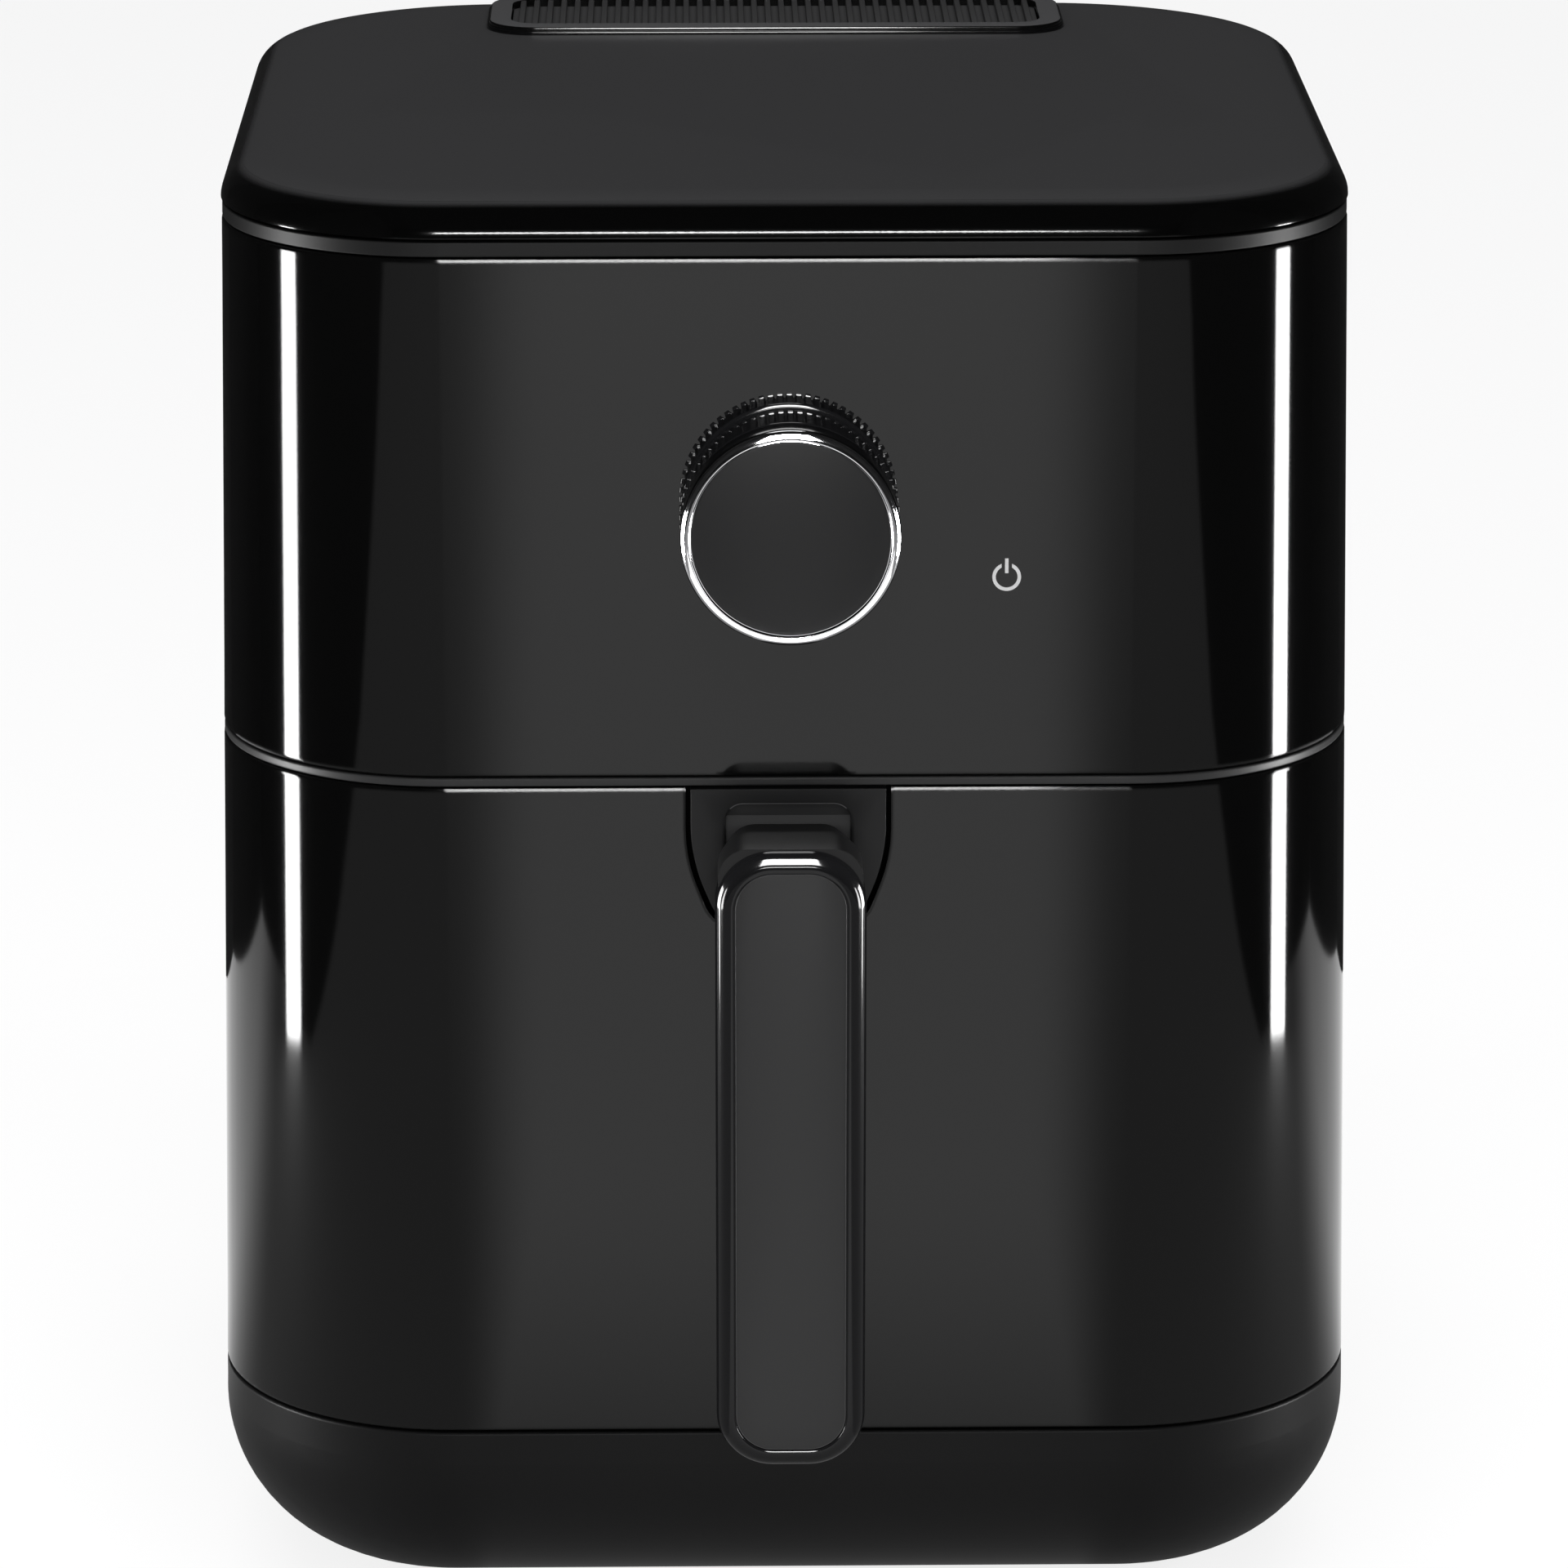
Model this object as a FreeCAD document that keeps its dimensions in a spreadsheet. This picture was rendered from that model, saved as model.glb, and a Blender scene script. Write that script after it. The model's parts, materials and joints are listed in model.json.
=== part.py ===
import FreeCAD, Part
import math
import os
import Sketcher

# A drawer air fryer: moulded housing, pull-out drawer with a hanging handle, double control knob,
# and the heater, fan and motor above the cooking chamber. Millimetres, +Z up, front towards -Y.

doc = FreeCAD.newDocument("air_fryer")
sizes = doc.addObject("Spreadsheet::Sheet", "sizes")

DRIVING_SIZES = {
    # outer form, measured at the housing's top edge
    "housing_width": 262.6,
    "housing_depth": 256.0,
    "front_corner": 52.0,
    "back_corner": 62.0,
    "draft_angle": 1.04,
    "wall": 2.5,
    "centre_back": 17.8,
    # levels above the floor
    "feet_height": 2.5,
    "base_seam": 50.3,
    "drawer_top": 209.3,
    "low_trim_height": 2.0,
    "housing_top": 333.8,
    "high_trim_height": 3.5,
    "cover_height": 8.6,
    # seams and running gaps
    "seam_gap": 0.4,
    "drawer_gap": 0.6,
    "cover_gap": 0.7,
    "turning_gap": 0.05,
    "loose_gap": 0.3,
    # edges
    "base_round": 39.0,
    "cover_round": 7.0,
    "cover_overhang": 0.2,
    "edge_round": 0.7,
    "trim_edge_round": 0.4,
    "trim_inset": 0.1,
    "trim_depth": 5.0,
    # feet and base
    "foot_radius": 9.0,
    "foot_margin": 9.0,
    "post_radius": 6.0,
    "post_step": 18.0,
    "base_screw_radius": 1.6,
    "base_screw_head": 3.6,
    "screw_head_height": 1.4,
    "base_screw_length": 20.0,
    "screw_tip_gap": 1.0,
    # how far a cutting tool runs past the face that it opens
    "overshoot": 1.0,
    # rear vent
    "vent_width": 146.0,
    "vent_depth": 45.0,
    "vent_setback": 54.0,
    "vent_rise": 2.0,
    "vent_rim_width": 5.5,
    "vent_corner": 8.0,
    "slat_pitch": 3.2,
    "slat_gap": 1.5,
    "slat_end": 3.0,
    "grille_thick": 3.0,
    "slat_count": 41,
    # cooking chamber
    "liner_bottom": 54.0,
    "liner_top": 205.0,
    "liner_side_gap": 22.0,
    "liner_back_gap": 16.0,
    "liner_front": 74.0,
    "fan_axis": 14.0,
    "sheet_thick": 1.0,
    "hood_radius": 87.0,
    "hood_height": 32.0,
    "hood_bore_gap": 2.0,
    "ceiling_opening": 81.0,
    "guard_radius": 85.0,
    "guard_slot_width": 7.0,
    "guard_slot_length": 44.0,
    "guard_slot_start": 22.0,
    "guard_slots": 16,
    "runner_width": 4.0,
    "runner_thick": 3.0,
    "runner_level": 178.0,
    # heater
    "element_radius": 3.2,
    "element_inner": 46.0,
    "element_pitch": 11.0,
    "element_half_turns": 7,
    "element_level": 212.5,
    "clip_width": 6.0,
    "clip_reach": 40.0,
    "clip_thick": 2.0,
    # fans and motor
    "shaft_radius": 3.0,
    "fan_radius": 60.0,
    "fan_level": 219.0,
    "fan_height": 12.0,
    "fan_hub_radius": 9.0,
    "blade_thick": 1.2,
    "blade_root": 1.0,
    "blade_count": 8,
    "nut_height": 4.5,
    "nut_radius": 6.5,
    "bracket_rise": 6.0,
    "bracket_thick": 3.0,
    "bracket_length": 150.0,
    "bracket_width": 34.0,
    "bracket_bore": 9.0,
    "bracket_post": 5.0,
    "motor_radius": 34.0,
    "motor_height": 44.0,
    "motor_screw_radius": 1.8,
    "motor_screw_head": 3.4,
    "motor_screw_circle": 12.5,
    "motor_screw_length": 11.0,
    "cooling_radius": 42.0,
    "cooling_lift": 4.0,
    # controls
    "knob_level": 278.2,
    "knob_radius": 24.8,
    "ring_start": 1.0,
    "ring_length": 15.0,
    "groove_length": 3.0,
    "knob_length": 16.5,
    "bezel_length": 3.0,
    "bezel_width": 2.2,
    "face_recess": 1.2,
    "grip_relief": 0.4,
    "collar_relief": 1.6,
    "seat_depth": 1.0,
    "sleeve_radius": 8.0,
    "timer_shaft_radius": 4.0,
    "shaft_reach": 21.0,
    "encoder_width": 26.0,
    "encoder_depth": 12.0,
    "board_width": 150.0,
    "board_height": 84.0,
    "board_thick": 1.6,
    "board_setback": 22.0,
    "board_post_radius": 4.0,
    "icon_side": 50.1,
    "icon_level": 259.3,
    "icon_radius": 2.9,
    "icon_stroke": 0.8,
    "icon_thick": 0.15,
    "icon_break": 2.4,
    "icon_bar_low": 0.9,
    "icon_bar_high": 4.35,
    "pad_radius": 14.0,
    "pad_thick": 1.5,
    # small inner parts
    "fuse_length": 22.0,
    "fuse_width": 9.0,
    "fuse_height": 7.0,
    "fuse_side": 62.0,
    "switch_depth": 20.0,
    "switch_height": 16.0,
    "switch_width": 10.0,
    "switch_level": 182.0,
    "gland_radius": 9.0,
    "gland_bore": 3.6,
    "gland_level": 80.0,
    "gland_side": 70.0,
    "gland_proud": 3.0,
    "gland_length": 14.0,
    # drawer
    "parting": 76.0,
    "drawer_wall": 3.0,
    "plate_thick": 3.0,
    "plate_back": 92.0,
    "pan_side_gap": 9.0,
    "pan_back_gap": 8.0,
    "pan_bottom": 58.5,
    "pan_top": 187.0,
    "pan_wall": 1.5,
    "pan_corner": 12.0,
    "pan_round": 10.0,
    "flange_width": 6.0,
    "flange_thick": 2.0,
    "crisper_margin": 4.0,
    "crisper_level": 72.0,
    "crisper_thick": 2.0,
    "crisper_slot_width": 6.0,
    "crisper_slot_length": 34.0,
    "crisper_slot_pitch": 15.0,
    "crisper_row_pitch": 51.0,
    "crisper_slot_columns": 9,
    "bumper_radius": 6.0,
    "bumper_side": 66.0,
    # handle
    "bracket_half_width": 22.6,
    "bracket_straight": 17.0,
    "bracket_drop": 33.0,
    "bracket_waist": 16.0,
    "bracket_curve": 36.0,
    "bracket_foot_curve": 8.0,
    "bracket_depth": 10.0,
    "bracket_gap": 1.2,
    "bracket_flange": 6.0,
    "pocket_half_width": 14.5,
    "pocket_top": 4.2,
    "pocket_depth": 5.0,
    "pocket_height": 24.0,
    "pocket_corner": 4.0,
    "handle_width": 34.4,
    "handle_top": 205.5,
    "handle_bottom": 56.5,
    "handle_thick": 15.0,
    "handle_reach": 41.0,
    "handle_corner": 13.0,
    "handle_edge": 5.5,
    "neck_half_width": 13.0,
    "neck_height": 16.0,
    "neck_drop": 6.5,
    "neck_corner": 6.0,
    "neck_bite": 2.0,
    "inlay_border": 4.4,
    "inlay_corner": 9.0,
    "inlay_thick": 1.4,
    "handle_screw_radius": 2.0,
    "handle_screw_head": 3.6,
    "handle_screw_side": 6.5,
    "handle_screw_length": 30.0,
}

for row, (alias, value) in enumerate(DRIVING_SIZES.items(), start=1):
    sizes.set(f"A{row}", alias)
    sizes.set(f"B{row}", str(value))
    sizes.setAlias(f"B{row}", alias)
doc.recompute()


def formula(words):
    """Put the sheet's name before each size that the words mention."""
    out = []
    word = ""
    for letter in words + " ":
        if letter.isalnum() or letter == "_":
            word += letter
            continue
        out.append(f"sizes.{word}" if word in DRIVING_SIZES else word)
        out.append(letter)
        word = ""
    return "".join(out).strip()


def number(words):
    """The value of a formula in sizes, in millimetres or degrees."""
    return float(sizes.evalExpression(formula(words)))


def bind(thing, **formulas):
    """Tie properties of an object to formulas in sizes; two underscores stand for a dot."""
    for path, words in formulas.items():
        thing.setExpression(path.replace("__", "."), formula(words))
    return thing


def at(thing, x="0", y="0", z="0"):
    return bind(thing, Placement__Base__x=x, Placement__Base__y=y, Placement__Base__z=z)


def turn(thing, axis, words):
    """Turn an object about an axis through its own origin by a formula in degrees."""
    thing.Placement.Rotation = FreeCAD.Rotation(axis, number(words))
    return thing


ALONG_X = FreeCAD.Vector(1, 0, 0)
ALONG_Z = FreeCAD.Vector(0, 0, 1)
SUB_PARTS = []
NEAR = 0.01


def box(name, x0, x1, y0, y1, z0, z1):
    block = doc.addObject("Part::Box", name)
    bind(block, Length=f"({x1}) - ({x0})", Width=f"({y1}) - ({y0})", Height=f"({z1}) - ({z0})")
    return at(block, x0, y0, z0)


def upright(name, radius, z0, z1, x="0", y="0"):
    rod = doc.addObject("Part::Cylinder", name)
    bind(rod, Radius=radius, Height=f"({z1}) - ({z0})")
    return at(rod, x, y, z0)


def lying(name, radius, y0, y1, x, z):
    """A round bar along the depth, from its front end y0 to its back end y1."""
    rod = doc.addObject("Part::Cylinder", name)
    bind(rod, Radius=radius, Height=f"({y1}) - ({y0})")
    turn(rod, ALONG_X, "90")
    return at(rod, x, y1, z)


def cut(name, base, *tools):
    result = base
    for index, tool in enumerate(tools):
        step = doc.addObject("Part::Cut", f"{name}_cut{index}")
        step.Base = result
        step.Tool = tool
        result = step
    return result


def fuse(name, *things):
    joined = doc.addObject("Part::MultiFuse", f"{name}_fuse")
    joined.Shapes = list(things)
    return joined


def common(name, base, tool):
    shared = doc.addObject("Part::Common", f"{name}_common")
    shared.Base = base
    shared.Tool = tool
    return shared


def group(name, *things):
    together = doc.addObject("Part::Compound", f"{name}_group")
    together.Links = list(things)
    return together


def sub_part(label, thing):
    """Name a finished piece and set it back so that the overall depth is centred on the origin."""
    thing.Label = label
    bind(thing, Placement__Base__y="centre_back")
    SUB_PARTS.append(thing)
    return thing


def plane_of(body, role):
    return next(f for f in body.Origin.OriginFeatures if f.Role == role)


def new_sketch(body, name, role, level):
    sketch = body.newObject("Sketcher::SketchObject", name)
    sketch.AttachmentSupport = [(plane_of(body, role), "")]
    sketch.MapMode = "FlatFace"
    bind(sketch, AttachmentOffset__Base__z=level)
    return sketch


def rounded_outline(sketch, left, right, low, high, low_corner, high_corner):
    """A closed rectangle with rounded corners, each side and radius tied to a formula."""
    x0, x1, y0, y1 = number(left), number(right), number(low), number(high)
    r0, r1 = number(low_corner), number(high_corner)
    vec = FreeCAD.Vector
    ends = [
        (vec(x0 + r0, y0), vec(x1 - r0, y0)),
        (vec(x1, y0 + r0), vec(x1, y1 - r1)),
        (vec(x1 - r1, y1), vec(x0 + r1, y1)),
        (vec(x0, y1 - r1), vec(x0, y0 + r0)),
    ]
    lines = [sketch.addGeometry(Part.LineSegment(*pair), False) for pair in ends]
    centres = [(x1 - r0, y0 + r0, r0), (x1 - r1, y1 - r1, r1), (x0 + r1, y1 - r1, r1), (x0 + r0, y0 + r0, r0)]
    arcs = []
    for index, (cx, cy, r) in enumerate(centres):
        start = (index - 1) * math.pi / 2
        circle = Part.Circle(vec(cx, cy), ALONG_Z, r)
        arcs.append(sketch.addGeometry(Part.ArcOfCircle(circle, start, start + math.pi / 2), False))
    constraint = Sketcher.Constraint
    for index, arc in enumerate(arcs):
        sketch.addConstraint(constraint("Tangent", lines[index], 2, arc, 1))
        sketch.addConstraint(constraint("Tangent", arc, 2, lines[(index + 1) % 4], 1))
    sketch.addConstraint(constraint("Horizontal", lines[0]))
    sketch.addConstraint(constraint("Vertical", lines[1]))
    sketch.addConstraint(constraint("Horizontal", lines[2]))
    sketch.addConstraint(constraint("Vertical", lines[3]))
    sketch.addConstraint(constraint("Equal", arcs[0], arcs[3]))
    sketch.addConstraint(constraint("Equal", arcs[1], arcs[2]))
    driven = [
        ("low_corner", constraint("Radius", arcs[0], r0), low_corner),
        ("high_corner", constraint("Radius", arcs[1], r1), high_corner),
        ("left", constraint("DistanceX", -1, 1, lines[3], 1, x0), left),
        ("right", constraint("DistanceX", -1, 1, lines[1], 1, x1), right),
        ("low", constraint("DistanceY", -1, 1, lines[0], 1, y0), low),
        ("high", constraint("DistanceY", -1, 1, lines[2], 1, y1), high),
    ]
    for name, rule, words in driven:
        place = sketch.addConstraint(rule)
        sketch.renameConstraint(place, name)
        sketch.setExpression(f"Constraints.{name}", formula(words))


def pad(body, sketch, length, draft=None):
    feature = body.newObject("PartDesign::Pad", f"{sketch.Name}_pad")
    feature.Profile = sketch
    bind(feature, Length=length)
    if draft:
        bind(feature, TaperAngle=draft)
    return feature


def round_edges(body, feature, radius, wanted):
    """Round the edges of a body's last feature that the test picks."""
    doc.recompute()
    names = [f"Edge{i}" for i, e in enumerate(feature.Shape.Edges, start=1) if wanted(e)]
    fillet = body.newObject("PartDesign::Fillet", f"{feature.Name}_round")
    fillet.Base = (feature, names)
    bind(fillet, Radius=radius)
    return fillet


def lies_at(level):
    return lambda edge: all(abs(v.Z - number(level)) < NEAR for v in edge.Vertexes)


def runs_through(level):
    """Picks the edges along the depth at a level."""
    return lambda edge: lies_at(level)(edge) and abs(edge.Vertexes[0].X - edge.Vertexes[-1].X) < NEAR


# Outer form: every section is the same rounded rectangle, growing downwards with the draft.


def spread(level):
    return f"((housing_top - ({level})) * tan(draft_angle * 1 deg))"


def half_width(level):
    return f"(housing_width / 2 + {spread(level)})"


def half_depth(level):
    return f"(housing_depth / 2 + {spread(level)})"


def form(name, z0, z1, inset="0"):
    """A solid of the outer form between two levels, drawn in all round by inset."""
    body = doc.addObject("PartDesign::Body", name)
    sketch = new_sketch(body, f"{name}_outline", "XY_Plane", z0)
    side = f"({half_width(z0)} - ({inset}))"
    depth = f"({half_depth(z0)} - ({inset}))"
    front_r = f"(front_corner + {spread(z0)} - ({inset}))"
    back_r = f"(back_corner + {spread(z0)} - ({inset}))"
    rounded_outline(sketch, f"-{side}", side, f"-{depth}", depth, front_r, back_r)
    pad(body, sketch, f"({z1}) - ({z0})", "-draft_angle")
    return body


def soften(body, z0, z1, radius):
    """Break the outer edges of a form at its two ends."""
    for level in (z0, z1):
        round_edges(body, body.Tip, radius, lies_at(level))


def form_ring(name, z0, z1, inset, thick, edge):
    """A hoop of the outer form; the tool that hollows it runs past both ends."""
    outside = form(f"{name}_outside", z0, z1, inset)
    soften(outside, z0, z1, edge)
    inside = form(f"{name}_inside", f"({z0}) - wall", f"({z1}) + wall", f"({inset}) + ({thick})")
    return cut(name, outside, inside)


HOUSING_BOTTOM = "(drawer_top + 2 * seam_gap + low_trim_height)"
COVER_BOTTOM = "(housing_top + seam_gap + high_trim_height + cover_gap)"
COVER_TOP = f"({COVER_BOTTOM} + cover_height)"
KNOB_FRONT = half_depth("knob_level")
FAN_AXIS = ("0", "fan_axis")
FOOT_SIDE = f"({half_width('feet_height')} - base_round - foot_radius - foot_margin)"
FOOT_FRONT = f"({half_depth('feet_height')} - base_round - foot_radius - foot_margin)"
POST_FRONT = f"({FOOT_FRONT} - post_step)"
LINER_HALF = "(housing_width / 2 - liner_side_gap)"
LINER_BACK = "(housing_depth / 2 - liner_back_gap)"
PAN_HALF = f"({LINER_HALF} - pan_side_gap)"
PAN_BACK = f"({LINER_BACK} - pan_back_gap)"
VENT_FRONT = "(housing_depth / 2 - vent_setback)"
VENT_BACK = f"({VENT_FRONT} + vent_depth)"
FULL_TURN = 360.0


def base_shell():
    outside = form("base_outside", "feet_height", "base_seam")
    round_edges(outside, outside.Tip, "edge_round", lies_at("base_seam"))
    round_edges(outside, outside.Tip, "base_round", lies_at("feet_height"))
    floor = "(feet_height + wall)"
    inside = form("base_inside", floor, "base_seam + wall", "wall")
    round_edges(inside, inside.Tip, "base_round - wall", lies_at(floor))
    shell = cut("base_shell", outside, inside)
    posts = []
    bores = []
    for side in ("-", ""):
        for front in ("-", ""):
            spot = (f"{side}{FOOT_SIDE}", f"{front}{POST_FRONT}")
            posts.append(upright("base_post", "post_radius", floor, "liner_bottom", *spot))
            bores.append(
                upright(
                    "base_bore",
                    "base_screw_radius + turning_gap",
                    "feet_height - wall",
                    "feet_height + base_screw_length",
                    *spot,
                )
            )
    sub_part("base_shell", cut("base_bored", fuse("base_posts", shell, *posts), *bores))


def rubber_feet():
    feet = []
    for side in ("-", ""):
        for front in ("-", ""):
            spot = (f"{side}{FOOT_SIDE}", f"{front}{FOOT_FRONT}")
            feet.append(upright("foot", "foot_radius", "0", "feet_height", *spot))
    sub_part("rubber_feet", group("rubber_feet", *feet))


def base_screws():
    screws = []
    for side in ("-", ""):
        for front in ("-", ""):
            spot = (f"{side}{FOOT_SIDE}", f"{front}{POST_FRONT}")
            head_low = "feet_height - screw_head_height"
            head = upright("screw_head", "base_screw_head", head_low, "feet_height", *spot)
            tip = "feet_height + base_screw_length - screw_tip_gap"
            shank = upright("screw_shank", "base_screw_radius", "feet_height", tip, *spot)
            screws.append(fuse("base_screw", head, shank))
    sub_part("base_screws", group("base_screws", *screws))


def rear_shell():
    ring = form_ring("rear_ring", "base_seam", "drawer_top", "0", "wall", "edge_round")
    reach = half_width("0")
    levels = ("base_seam", "drawer_top")
    front_zone = box("drawer_zone", f"-{reach}", reach, "-housing_depth", "-parting", *levels)
    wall_out = half_depth("gland_level")
    spot = ("gland_side", "gland_level")
    hole = lying(
        "gland_hole", "gland_radius + turning_gap", f"{wall_out} - 2 * wall", f"{wall_out} + wall", *spot
    )
    sub_part("rear_shell", cut("rear_shell", ring, front_zone, hole))


def cord_gland():
    wall_out = half_depth("gland_level")
    start = f"({wall_out} + gland_proud - gland_length)"
    end = f"({wall_out} + gland_proud)"
    spot = ("gland_side", "gland_level")
    outer = lying("gland_outer", "gland_radius", start, end, *spot)
    bore = lying("gland_inner", "gland_bore", f"{start} - overshoot", f"{end} + overshoot", *spot)
    sub_part("cord_gland", cut("cord_gland", outer, bore))


def control_housing():
    ring = form_ring("housing_ring", HOUSING_BOTTOM, "housing_top", "0", "wall", "edge_round")
    wide = "sleeve_radius + loose_gap"
    hole = lying("sleeve_hole", wide, f"-{KNOB_FRONT} - wall", f"-{KNOB_FRONT} + 3 * wall", "0", "knob_level")
    sub_part("control_housing", cut("control_housing", ring, hole))


def trims():
    for label, z0, height in (
        ("lower_trim", "(drawer_top + seam_gap)", "low_trim_height"),
        ("upper_trim", "(housing_top + seam_gap)", "high_trim_height"),
    ):
        hoop = form_ring(label, z0, f"({z0} + {height})", "trim_inset", "trim_depth", "trim_edge_round")
        sub_part(label, hoop)


def vent_box(name, margin, z0, z1):
    half = f"(vent_width / 2 - ({margin}))"
    return box(name, f"-{half}", half, f"{VENT_FRONT} + ({margin})", f"{VENT_BACK} - ({margin})", z0, z1)


def top_cover():
    outside = form("cover_outside", COVER_BOTTOM, COVER_TOP, "-cover_overhang")
    round_edges(outside, outside.Tip, "cover_round", lies_at(COVER_TOP))
    inside = form("cover_inside", f"{COVER_BOTTOM} - wall", f"{COVER_TOP} - wall", "trim_inset + trim_depth")
    through = (f"{COVER_BOTTOM} - overshoot", f"{COVER_TOP} + overshoot")
    opening = vent_box("vent_opening", "vent_rim_width", *through)
    sub_part("top_cover", cut("top_cover", outside, inside, opening))


def vent_outline(body, margin, level):
    sketch = new_sketch(body, f"{body.Name}_outline", "XY_Plane", level)
    half = f"(vent_width / 2 - ({margin}))"
    corner = f"(vent_corner - ({margin}) / 2)"
    ends = (f"{VENT_FRONT} + ({margin})", f"{VENT_BACK} - ({margin})")
    rounded_outline(sketch, f"-{half}", half, *ends, corner, corner)
    return sketch


def vent():
    rim = doc.addObject("PartDesign::Body", "vent_rim_outside")
    pad(rim, vent_outline(rim, "0", COVER_TOP), "vent_rise")
    rim_top = f"({COVER_TOP} + vent_rise)"
    hole = vent_box("vent_rim_hole", "vent_rim_width", f"{COVER_TOP} - overshoot", f"{rim_top} + overshoot")
    sub_part("vent_rim", cut("vent_rim", rim, hole))
    margin = "(vent_rim_width + loose_gap)"
    top = f"({rim_top} - loose_gap)"
    plate = vent_box("grille_plate", margin, f"{top} - grille_thick", top)
    slots = []
    for index in range(int(number("slat_count"))):
        middle = f"(({index} - (slat_count - 1) / 2) * slat_pitch)"
        slots.append(
            box(
                "slat_slot",
                f"{middle} - slat_gap / 2",
                f"{middle} + slat_gap / 2",
                f"{VENT_FRONT} + vent_rim_width + slat_end",
                f"{VENT_BACK} - vent_rim_width - slat_end",
                f"{top} - grille_thick - overshoot",
                f"{top} + overshoot",
            )
        )
    sub_part("vent_grille", cut("vent_grille", plate, group("slat_slots", *slots)))


def cooking_chamber():
    half = LINER_HALF
    outer = box("liner_outer", f"-{half}", half, "-liner_front", LINER_BACK, "liner_bottom", "liner_top")
    inner_half = f"({half} - sheet_thick)"
    inner = box(
        "liner_inner",
        f"-{inner_half}",
        inner_half,
        "-liner_front - overshoot",
        f"{LINER_BACK} - sheet_thick",
        "liner_bottom + sheet_thick",
        "liner_top - sheet_thick",
    )
    above = "liner_top + overshoot"
    opening = upright("liner_opening", "ceiling_opening", "liner_top - 2 * sheet_thick", above, *FAN_AXIS)
    sub_part("chamber_liner", cut("chamber_liner", outer, inner, opening))
    hood_top = "(liner_top + hood_height)"
    outside = upright("hood_outer", "hood_radius", "liner_top", hood_top, *FAN_AXIS)
    room = ("liner_top - overshoot", f"{hood_top} - sheet_thick")
    inside = upright("hood_inner", "hood_radius - sheet_thick", *room, *FAN_AXIS)
    through = (f"{hood_top} - 2 * sheet_thick", f"{hood_top} + overshoot")
    bore = upright("hood_bore", "shaft_radius + hood_bore_gap", *through, *FAN_AXIS)
    sub_part("chamber_hood", cut("chamber_hood", outside, inside, bore))
    runners = []
    for side, x0, x1 in (
        ("left", f"-{inner_half}", f"-{inner_half} + runner_width"),
        ("right", f"{inner_half} - runner_width", inner_half),
    ):
        runners.append(
            box(
                f"runner_{side}",
                x0,
                x1,
                "-liner_front",
                f"{LINER_BACK} - sheet_thick",
                "runner_level",
                "runner_level + runner_thick",
            )
        )
    sub_part("drawer_runners", group("drawer_runners", *runners))


def spoke(name, start, length, width, z0, height, angle):
    """A bar that runs outwards from the fan's axis at an angle in degrees."""
    bar = doc.addObject("Part::Box", name)
    bind(bar, Length=length, Width=width, Height=height)
    turned = FreeCAD.Rotation(ALONG_Z, angle)
    inner_end = turned.multVec(FreeCAD.Vector(number(start), -number(width) / 2, number(z0)))
    axis = FreeCAD.Vector(0, number("fan_axis"), 0)
    bar.Placement = FreeCAD.Placement(inner_end + axis, turned)
    return bar


def fan_guard():
    top = "(liner_top - sheet_thick)"
    disc = upright("guard_disc", "guard_radius", f"{top} - sheet_thick", top, *FAN_AXIS)
    slots = []
    for index in range(int(number("guard_slots"))):
        angle = FULL_TURN * index / number("guard_slots")
        slots.append(
            spoke(
                "guard_slot",
                "guard_slot_start",
                "guard_slot_length",
                "guard_slot_width",
                f"{top} - 2 * sheet_thick",
                "3 * sheet_thick",
                angle,
            )
        )
    sub_part("fan_guard", cut("fan_guard", disc, group("guard_slots", *slots)))


def heating_element():
    level = number("element_level")
    radius = number("element_inner")
    step = number("element_pitch") / 2
    spot = FreeCAD.Vector(radius, 0, level)
    side = 1
    edges = []
    for turn_index in range(int(number("element_half_turns"))):
        centre_x = spot.x - side * radius
        crown = FreeCAD.Vector(centre_x, side * radius, level)
        finish = FreeCAD.Vector(centre_x - side * radius, 0, level)
        edges.append(Part.Arc(spot, crown, finish).toShape())
        spot = finish
        side = -side
        radius += step / 2
    path = Part.Wire(edges)
    start = FreeCAD.Vector(number("element_inner"), 0, level)
    section = Part.Wire(Part.Circle(start, FreeCAD.Vector(0, 1, 0), number("element_radius")).toShape())
    coil = doc.addObject("Part::Feature", "element_coil")
    tube = path.makePipeShell([section], True, False)
    tube.translate(FreeCAD.Vector(0, number("fan_axis"), 0))
    coil.Shape = tube
    sub_part("heating_element", coil)


CLIP_ANGLES = (90.0, 210.0, 330.0)


def element_clips():
    top = "(liner_top + hood_height - sheet_thick)"
    low = "(element_level + element_radius + loose_gap)"
    leg_start = "(hood_radius - sheet_thick - clip_width - loose_gap)"
    clips = []
    for angle in CLIP_ANGLES:
        leg = spoke("clip_leg", leg_start, "clip_width", "clip_width", low, f"{top} - {low}", angle)
        arm_start = f"{leg_start} - clip_reach"
        arm_length = "clip_reach + clip_width / 2"
        arm = spoke("clip_arm", arm_start, arm_length, "clip_width", low, "clip_thick", angle)
        clips.append(fuse("element_clip", leg, arm))
    sub_part("element_clips", group("element_clips", *clips))


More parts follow.
